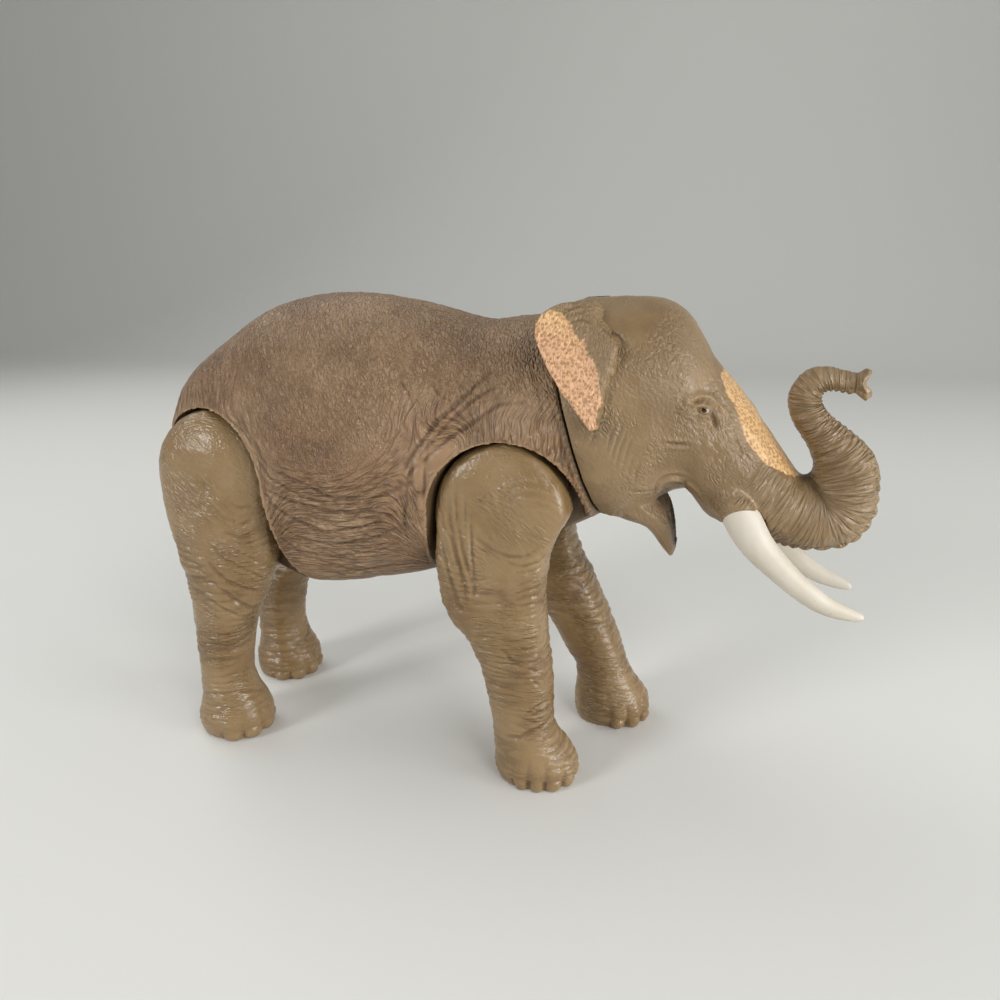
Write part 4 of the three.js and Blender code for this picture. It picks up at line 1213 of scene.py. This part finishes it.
EAR_HOLE = ((47.8, 26.2, 149.8), (47.8, 28.5, 150.7))
EAR_HOLE_RADIUS = 4.0
HEAD_HOLLOW = 12.6
HEAD_HOLLOW_SPAN = (-2.7, -9)
HEAD_BORE_SPAN = (1, -4)
HEAD_PLUG_SPAN = (-0.3, -12)
FACE_FOLDS = [
    ([(617, 422), (611, 436), (606, 453)], 0.6, -0.3),
    ([(622, 423), (617, 440), (611, 460)], 0.6, -0.35),
    ([(626, 432), (620, 450), (615, 467)], 0.6, -0.3),
    ([(630, 440), (626, 456), (621, 473)], 0.6, -0.25),
    ([(640, 460), (636, 474), (633, 485)], 0.6, -0.25),
    ([(634, 455), (629, 470), (627, 482)], 0.6, -0.25),
    ([(688, 401), (698, 396), (709, 397), (718, 405), (724, 415)], 1.4, 1.1),
    ([(711, 411), (714, 418), (717, 428)], 1.0, -1.1),
    ([(718, 405), (726, 411), (727, 418), (722, 424)], 1.0, 0.4),
    ([(695, 408), (700, 405), (706, 405.5), (711, 409)], 0.75, 0.75),
    ([(697, 412), (701.5, 415.5), (707, 416)], 0.65, 0.4),
    ([(690, 405), (697, 401), (704, 400), (709, 402)], 0.7, -0.5),
    ([(680, 404), (688, 406.5), (696, 408)], 0.5, -0.4),
    ([(673, 413), (678, 414.5), (684, 415)], 0.5, -0.35),
    ([(674, 408), (679, 409.5), (684, 410)], 0.5, -0.35),
    ([(678, 400), (684, 402), (689, 404)], 0.5, -0.3),
    ([(690, 413), (697, 417), (707, 419)], 0.6, -0.35),
    ([(686, 420), (697, 425), (707, 426)], 0.7, -0.3),
    ([(661, 443), (673, 444.5), (686, 444.5), (694, 447)], 0.8, -0.4),
    ([(666, 439), (675, 440), (684, 441)], 0.8, 0.35),
    ([(667, 447), (680, 448.5), (690, 449)], 0.8, 0.3),
    ([(705, 365), (715, 382), (725, 405), (727, 417)], 1.4, 0.4),
    ([(630, 491.5), (643, 492.5), (656, 490)], 0.6, -0.45),
    ([(658, 492), (660, 484), (670, 478.5), (683, 480), (693, 486), (699, 493)], 1.2, 0.9),
    ([(653, 480), (663, 474), (680, 472), (690, 477)], 1.0, 0.3),
    ([(662, 487), (673, 483), (685, 484.5), (697, 492)], 0.6, -0.5),
    ([(718, 508), (730, 500), (748, 499), (765, 507)], 1.0, -0.3),
    ([(601, 392), (600, 410), (596, 426), (594, 439), (589, 445)], 0.9, -0.5),
    ([(595, 357), (607, 352), (614, 352), (617, 362), (614, 372)], 0.9, 0.4),
    ([(596, 321), (605, 330), (619, 335), (624, 345)], 1.0, -0.6),
    ([(640, 330), (655, 345), (664, 365)], 1.4, -0.25),
    ([(729, 424), (736, 440), (742, 452)], 0.8, -0.3),
    ([(752, 462), (744, 452), (738, 458)], 0.7, -0.3),
]
FOREHEAD_PATCH = [
    (722, 377), (727, 392), (735, 405), (739, 417), (744, 435), (750, 447), (761, 460), (778, 472),
    (794, 476), (805, 473), (822, 464), (815, 440), (798, 422), (784, 402), (768, 382), (745, 360),
    (726, 362),
]
MOUTH_OUTLINE = [
    (658, 492), (665, 507), (669, 522), (671.7, 533), (673, 543), (676, 550), (684, 545), (684, 527),
    (680, 508), (674, 494), (668, 488),
]


def trunk_way(points):
    """How far along the trunk's middle line each point is, and how far above the line, in its bends."""
    line = np.array(TRUNK_LINE)
    steps = np.arange(0, reach_of(line)[-1], TRUNK_STEP)
    line = eased(line, steps, TRUNK_ROUNDS)
    way = np.gradient(line, axis=0)
    way /= np.linalg.norm(way, axis=1)[:, None]
    gaps = (points[:, :1] - line[:, 0]) ** 2 + (points[:, 2:] - line[:, 1]) ** 2
    share = np.exp((gaps.min(axis=1)[:, None] - gaps) / TRUNK_BLEND)
    share /= share.sum(axis=1)[:, None]
    middle, ahead = share @ line, share @ way
    offset = points[:, [0, 2]] - middle
    return share @ steps, ahead[:, 0] * offset[:, 1] - ahead[:, 1] * offset[:, 0]


def beads(points, along, rise):
    """Two rows of beads along the underside of the trunk: the strip that a row takes, and its beads."""
    turn = np.arctan2(np.abs(points[:, 1]), -rise)
    beside = (turn - BEAD_TURN) * np.hypot(points[:, 1], rise)
    dome = np.sqrt(np.clip(1 - (beside / BEAD_SIZE) ** 2, 0, 1))
    bead = dome * np.abs(np.cos(np.pi * along / BEAD_PITCH)) ** BEAD_POWER
    return hump(beside, width=BEAD_ROW, power=FLAT), bead


def trunk_tip(points, normals):
    """The flared end of the trunk with its two nostrils: its height, its shift ahead and the painted shade
    of the nostrils.
    """
    short = TRUNK_TIP[0] - points[:, 0]
    above = points[:, 2] - TRUNK_TIP[1]
    there = ramp(np.abs(above), *TIP_SPAN) * ramp(short, *TIP_REACH)
    flare = FLARE[0] * hump(short, *FLARE[1:]) - WAIST[0] * hump(short, *WAIST[1:])
    nostril = hump(np.abs(points[:, 1]), NOSTRIL_ASIDE, NOSTRIL_SIZE[0]) * hump(above, width=NOSTRIL_SIZE[1])
    nostril *= ramp(normals[:, 0], *NOSTRIL_TURN)
    height = flare * ramp(normals[:, 0], *FLARE_TURN) - NOSTRIL_DEPTH * nostril
    ahead, back, span = NOTCH
    notch = (ahead - back * hump(above, width=span)) * ramp(short, *NOTCH_REACH)
    return height * there, notch * there, nostril * there


def eye_socket(points, eye):
    """A long hollow for the eyeball."""
    x, y, z = (points - eye).T
    even, tilt = SOCKET_TILT
    hollow = hump(even * x - tilt * z, width=SOCKET_SIZE[0])
    hollow *= hump(even * z + tilt * x, width=SOCKET_SIZE[1])
    return -SOCKET_DEPTH * hollow * hump(y, width=SOCKET_REACH)


def tusk_cutter(side, tree):
    """What keeps the lip clear of a tusk: a rod about the tusk from the lip's edge downwards."""
    points = METRE * np.array([v.co for v in frame["nodes"]["tusk_right"].data.vertices])
    root = points[points[:, 0] < points[:, 0].min() + TUSK_ROOT_SPAN].mean(0)
    reach = np.linalg.norm(points - root, axis=1)
    nearest, furthest = TUSK_WAY_SPAN
    way = unit(points[(reach > nearest) & (reach < furthest)].mean(0) - root)
    edge = [np.array(seen_at(tree, pixel)) for pixel in LIP_EDGE]
    slope = np.cross(edge[1] - edge[0], edge[2] - edge[0])
    root += SHEATH_SHIFT
    points, faces = cylinder(root, root + SHEATH_REACH * way, SHEATH_CUT)
    points = np.array(points)
    start = points[: len(points) // 2]
    start += (((edge[1] - start) @ slope) / (way @ slope))[:, None] * way
    return (points * [1, -side, 1]).tolist(), faces


def head_plugs():
    """What closes the holes of the head, so that only its outside is covered with skin."""
    ears = [[(x, side * y, z) for x, y, z in EAR_HOLE] for side in (-1, 1)]
    return [neck_rod(*HEAD_PLUG_SPAN, NECK_HOLE), *(cylinder(*ends, EAR_HOLE_RADIUS) for ends in ears)]


def near_pixel(spots, pixel, reach, power=2):
    return hump(np.linalg.norm(spots - pixel, axis=1), width=reach, power=power)


def head_relief(points, spots, along, rise, trunk):
    """Height of the creases of the face and the trunk."""
    x, y, z = points.T
    jaw = ramp(z, *JAW_BELOW) * ramp(x, *JAW_BEHIND)
    depth = FACE_DEPTHS[0] + FACE_DEPTHS[1] * ramp(x, *FACE_FROM)
    face = (pads(points / FACE_PACES, *FACE_PADS) - FACE_LEVEL) * depth * (1 - JAW_CALM * jaw)
    face += CHEEK_DEPTH * lumps(points, *CHEEK_LUMPS) * near_pixel(spots, CHEEK, CHEEK_REACH)
    pace = np.interp(along, RING_PLACES, RING_PACES)
    row, bead = beads(points, along, rise)
    rings = creased(along, rise, y, (pace, *RING_FOLDS)) * RING_DEPTH * (1 - row)
    rings += (BEAD_RISE * bead - BEAD_ROW_DEPTH * row) * ramp(along, *BEAD_FROM)
    relief = face * (1 - trunk) + rings * trunk
    return relief * (1 - LIP_CALM * near_pixel(spots, LIP, LIP_REACH, FLAT))


def head_marks(skin, spots, wobble, along, rise, trunk):
    """The marks of the head's fine creases and of the painted shade in its mouth."""
    x, y, z = skin.near.T
    mouth = ramp(inside_outline(spots, MOUTH_OUTLINE) + MOUTH_WOBBLE * wobble, *MOUTH_EDGE)
    mouth *= ramp(x, *MOUTH_FROM)
    return {
        "warm": np.ones(len(x)),
        "flow": spaced(along, rise, y, *TRUNK_MARKS),
        "weave": spaced(FACE_SLANT[0] * x + FACE_SLANT[1] * z, z, y, *FACE_MARKS),
        "lean": trunk,
        # painted shade on the inner faces of the open mouth
        "dark": mouth * ramp(skin.normals[:, 1] * np.sign(skin.points[:, 1]), *MOUTH_TURN),
        "shown": varied(skin.near, *FACE_SHOWN) + TRUNK_SHOWN * trunk,
    }


def build_head():
    start, end, share = HEAD_CALM
    skin = Skin(["head_shell_right", "head_shell_left"], HEAD_GRAIN, HEAD_ROUNDS, plugs=head_plugs(),
                calm=lambda p: 1 - share * ramp(p[:, 0], start, end))
    points = skin.near
    tree = skin.tree()
    show = np.where((points - NECK) @ NECK_AXIS < NECK_FACE, 0, skin.off_rim)
    spots = pictured(points)
    wobble = layered(points, PATCH_WOBBLES)
    patch = ramp(inside_outline(spots, FOREHEAD_PATCH) + wobble, *PATCH_EDGE)
    patch *= ramp(points[:, 0] + BROW_BEND * (points[:, 2] - BROW_LEVEL), *BROW_LIMIT)
    along, rise = trunk_way(points)
    trunk = ramp(along, TRUNK_START, TRUNK_START + TRUNK_FADE)
    trunk = trunk * ramp(points[:, 0], *TRUNK_SIDE) * (1 - patch)
    eye = np.array(seen_at(tree, EYE_PIXEL))
    tip, notch, nostrils = trunk_tip(points, skin.normals)
    creases = (head_relief(points, spots, along, rise, trunk) + drawn(skin, tree, FACE_FOLDS)) * show
    soft = layered(points, FACE_SWELLS) * (1 - near_pixel(spots, LIP, LIP_REACH, FLAT))
    skin.marks = head_marks(skin, spots, wobble, along, rise, trunk)
    skin.marks["patch"] = patch
    # the trunk paler: painted light on it
    skin.marks["relief"] = creases + TRUNK_PAINTED_LIGHT * trunk
    # painted shade in the nostrils
    skin.marks["dark"] = np.maximum(skin.marks["dark"], nostrils)
    skin.marks["shown"] *= show
    skin.points[:, 0] += notch
    skin.move(creases + (soft * (1 - TRUNK_CALM * trunk) + eye_socket(points, eye) + tip) * show)
    for side, name in SIDES:
        finished(f"head_skin_{name}", skin, "head", [f"head_shell_{name}"], head_look, side=side,
                 cutters=[neck_rod(*HEAD_BORE_SPAN, NECK_BORE), tusk_cutter(side, tree),
                          neck_rod(*HEAD_HOLLOW_SPAN, HEAD_HOLLOW)])
    return eye, skin.tree()


# Ears, tusks and tail

EAR_ROUNDS = 6
EAR_PATCH = [
    (561, 312), (566, 320), (572, 326), (575, 334), (584, 340), (585, 350), (592, 360), (596, 371),
    (600, 385), (601, 397), (600, 410), (595, 425), (594, 436), (584, 434), (570, 412), (550, 384),
    (528, 350), (526, 322), (540, 312), (552, 310),
]
EAR_FOLDS = [
    ([(566, 314), (575, 310), (587, 309), (595, 315)], 0.8, 0.45),
    ([(570, 322), (582, 318), (592, 324)], 0.8, -0.4),
    ([(596, 321), (605, 330), (615, 338)], 0.9, -0.5),
    ([(545, 330), (556, 350), (572, 380), (588, 412)], 1.0, -0.3),
    ([(560, 326), (572, 345), (584, 368), (592, 392)], 0.9, -0.25),
    ([(580, 345), (592, 362), (602, 385)], 0.9, 0.3),
]
EAR_EDGE = [(131, 45.5), (144.6, 47.5), (153.3, 50), (158, 52), (163, 47), (167, 43.5)]
EAR_EDGE_SOFT = [(145, 0.8), (158, 2.6)]
EAR_DEPTHS = (1.7, 0.7)
EAR_WARM = (158, 168)
EAR_TURN = (0, 0.4)
PATCH_TURN = (-0.5, 0)
EAR_WOBBLES = ((2.6, 1.4, 29), (1.4, 3.5, 30))
EAR_SWELLS = ((0.16, 4, 47),)
FINE_MARKS = (1.3, 2.0)
FINE_SHOWN = 0.3
TUSK_ROUNDS = 12
TUSK_SWELLS = ((0.06, 5, 51),)
TUSK_ROOT_RISE = 1.5
TUSK_ROOT_REACH = (34, 6)
TAIL_ROUNDS = 8
TAIL_RINGS = (1.8, 3.3, 81, 0.4, 0.7)
TAIL_DEPTH = 0.2


def fine_marks(skin, flow, relief):
    """The marks of a small part with one kind of fine crease."""
    skin.marks.update(flow=flow, weave=flow, relief=relief, shown=np.full(len(relief), FINE_SHOWN))


def sunk(skin, head_tree, outside):
    """An ear's points with those past its front edge drawn under the skin of the head."""
    points = skin.points.copy()
    past = points[:, 0] - np.interp(points[:, 2], *np.transpose(EAR_EDGE))
    soft = np.interp(points[:, 2], *np.transpose(EAR_EDGE_SOFT))
    share = ramp(past / soft, -1, 1)
    for i in np.nonzero(share > 0)[0]:
        place, normal = head_tree.find_nearest(points[i])[:2]
        target = np.array(place) - (EAR_DEPTHS[0] - EAR_DEPTHS[1] * outside[i]) * np.array(normal)
        points[i] += share[i] * (target - points[i])
    return points


def build_ears(head_tree):
    tree = None
    for side, name in SIDES:
        skin = Skin([f"ear_{name}"], EAR_GRAIN, EAR_ROUNDS, sharp_deg=SHARP_EAR_DEG)
        points = skin.near
        x, y, z = points.T
        tree = tree or skin.tree()
        outside = side * skin.normals[:, 1]
        relief = drawn(skin, tree, EAR_FOLDS) * ramp(outside, *EAR_TURN)
        wobble = layered(points, EAR_WOBBLES)
        patch = ramp(inside_outline(pictured(points), EAR_PATCH) + wobble, *PATCH_EDGE)
        skin.marks["patch"] = patch * ramp(outside, *PATCH_TURN)
        skin.marks["warm"] = ramp(z, *EAR_WARM)
        fine_marks(skin, spaced(x, z, y, *FINE_MARKS), relief)
        skin.move(relief + layered(points, EAR_SWELLS))
        skin.points = sunk(skin, head_tree, outside)
        finished(f"ear_skin_{name}", skin, "head", [f"ear_{name}"], head_look)


def build_tusks():
    for _, name in SIDES:
        skin = Skin([f"tusk_{name}"], SMALL_GRAIN, TUSK_ROUNDS, sharp_deg=SHARP_SMALL_DEG)
        root = skin.points[skin.points[:, 0].argmin()]
        reach = np.linalg.norm(skin.points - root, axis=1)
        skin.move(layered(skin.points, TUSK_SWELLS) + TUSK_ROOT_RISE * ramp(reach, *TUSK_ROOT_REACH))
        finished(f"tusk_skin_{name}", skin, "head", [f"tusk_{name}"], ivory_look)


def build_tail():
    skin = Skin(["tail"], SMALL_GRAIN, TAIL_ROUNDS, sharp_deg=SHARP_SMALL_DEG)
    x, y, z = skin.points.T
    relief = TAIL_DEPTH * creased(z, x, y, TAIL_RINGS)
    fine_marks(skin, spaced(z, x, y, *FINE_MARKS), relief)
    skin.move(relief)
    finished("tail_skin", skin, "torso", ["tail"], body_look)


# Eyes

BULGE = 1.05
BULGE_TURN = 0.45
GAZE = (0.22, 0.97, 0.1)
BALL_ROWS = 24
BALL_SIDES = 32
IRIS_EDGE = (0.27, 0.31)
PUPIL_EDGE = (0.11, 0.14)
EYE_ROUGHNESS = 0.2
EYE_BUMP = 0.00001
EYE_BUMP_SCALE = 900.0


def eye_material():
    m = Nodes("eye_look")
    place = m.attribute("ring")
    colour = m.mix(m.ramp(place, *IRIS_EDGE), IRIS, EYE_WHITE)
    colour = m.mix(m.ramp(place, *PUPIL_EDGE), PUPIL, colour)
    m.set("Base Color", colour)
    m.set("Roughness", EYE_ROUGHNESS)
    m.set("Normal", m.bump(m.noise(EYE_BUMP_SCALE), EYE_BUMP))
    return m.material


def ball(centre, way, radius, rows, sides):
    """A closed ball with a raised cornea on the side it looks to, and each point's turn from there."""
    aside = unit(np.cross(way, UP))
    up = np.cross(aside, way)
    points, turns = [centre + radius * BULGE * way], [0.0]
    for i in range(1, rows):
        turn = math.pi * i / rows
        bulge = 1 + (BULGE - 1) * hump(turn, width=BULGE_TURN)
        for k in range(sides):
            spin = 2 * math.pi * k / sides
            flat = math.sin(turn) * (math.cos(spin) * aside + math.sin(spin) * up)
            points.append(centre + radius * bulge * (math.cos(turn) * way + flat))
            turns.append(2 * i / rows)
    points.append(centre - radius * way)
    turns.append(2.0)
    faces = []
    for k in range(sides):
        after = (k + 1) % sides
        for row in range(1, 1 + (rows - 2) * sides, sides):
            faces.append((row + k, row + sides + k, row + sides + after, row + after))
        last = 1 + (rows - 2) * sides
        faces += [(0, 1 + k, 1 + after), (last + k, len(points) - 1, last + after)]
    return points, faces, turns


def build_eyes(place):
    look = eye_material()
    for side, name in SIDES:
        centre = np.array([place[0], side * (abs(place[1]) - EYE_RADIUS - EYE_DEPTH), place[2]])
        way = unit(np.array(GAZE) * [1, side, 1])
        points, faces, turns = ball(centre, way, EYE_RADIUS, BALL_ROWS, BALL_SIDES)
        made = object_of(f"eye_{name}", [tuple(p * MILLIMETRE) for p in points], faces)
        attribute = made.data.attributes.new("ring", "FLOAT", "POINT")
        attribute.data.foreach_set("value", turns)
        face_out(made)
        shade_smooth(made)
        made.data.materials.append(look)
        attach(made, "head")


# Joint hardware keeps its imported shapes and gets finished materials

# Two colours, roughness, how metallic it is, and the scale of its changes
PIN_LOOK = ((linear(60, 52, 44), linear(48, 42, 36)), 0.45, 0.0, 300.0)
STEEL_LOOK = ((linear(184, 184, 178), linear(160, 160, 156)), 0.32, 1.0, 500.0)


def dress_hardware():
    plastic = plain_material("pin_look", *PIN_LOOK)
    steel = plain_material("steel_look", *STEEL_LOOK)
    for name, node in frame["nodes"].items():
        if any(word in name for word in ("_pin", "_washer", "_screw")):
            node.data.materials.clear()
            node.data.materials.append(plastic if "_pin" in name else steel)


# Floor, light and camera, in metres

FLOOR_REACH = 3.0
WALL_PLACE = 1.9
COVE_RADIUS = 0.8
COVE_STEPS = 16
FLOOR_COLOUR = linear(224, 224, 220)
FLOOR_ROUGHNESS = 0.7
WORLD_COLOUR = linear(240, 240, 238)
WORLD_STRENGTH = 0.34
CAMERA_SEES = (0.01, 20)
LIGHT_AIM = (0, 0, 0.09)
LIGHTS = [
    ("back left", (-0.85, 0.35, 1.0), 0.9, 5.0),
    ("back right", (1.1, 0.3, 0.7), 1.0, 3.0),
    ("front right", (0.75, -0.75, 0.8), 0.45, 4.5),
    ("low right", (1.1, -0.3, 0.2), 0.5, 8.5),
    ("front left", (-0.8, -0.9, 0.55), 0.35, 6.8),
]


def build_stage():
    """A pale floor that curves up into the backdrop."""
    profile = [(-FLOOR_REACH, 0.0)]
    for i in range(COVE_STEPS + 1):
        turn = math.pi / 2 * i / COVE_STEPS
        profile.append((WALL_PLACE + COVE_RADIUS * (math.sin(turn) - 1), COVE_RADIUS * (1 - math.cos(turn))))
    profile.append((WALL_PLACE, FLOOR_REACH))
    points = [(x, y, z) for y, z in profile for x in (-FLOOR_REACH, FLOOR_REACH)]
    faces = [(2 * i, 2 * i + 1, 2 * i + 3, 2 * i + 2) for i in range(len(profile) - 1)]
    floor = object_of("floor", points, faces)
    shade_smooth(floor)
    m = Nodes("floor_look")
    m.set("Base Color", FLOOR_COLOUR)
    m.set("Roughness", FLOOR_ROUGHNESS)
    floor.data.materials.append(m.material)


def build_lights():
    world = bpy.data.worlds.new("studio")
    bpy.context.scene.world = world
    world.use_nodes = True
    back = world.node_tree.nodes["Background"]
    back.inputs["Color"].default_value = WORLD_COLOUR
    back.inputs["Strength"].default_value = WORLD_STRENGTH
    for name, place, size, power in LIGHTS:
        data = bpy.data.lights.new(name, "AREA")
        data.shape = "SQUARE"
        data.size = size
        data.energy = power
        lamp = linked(name, data)
        lamp.location = place
        lamp.rotation_mode = "QUATERNION"
        lamp.rotation_quaternion = (Vector(LIGHT_AIM) - Vector(place)).to_track_quat("-Z", "Y")


def build_camera():
    data = bpy.data.cameras.new("camera")
    data.sensor_width = SENSOR_WIDTH
    data.lens = SENSOR_WIDTH * FOCAL_PIXELS / PICTURE_SIZE
    data.clip_start, data.clip_end = CAMERA_SEES
    camera = linked("camera", data)
    turn = Matrix([RIGHT, -DOWN, -FORWARD]).transposed().to_4x4()
    camera.matrix_world = Matrix.Translation(Vector(CAMERA_PLACE) * MILLIMETRE) @ turn
    bpy.context.scene.camera = camera


build_torso()
build_legs()
eye_place, head_tree = build_head()
build_ears(head_tree)
build_tusks()
build_tail()
build_eyes(eye_place)
dress_hardware()
build_stage()
build_lights()
build_camera()

bpy.context.scene.view_settings.view_transform = "Standard"
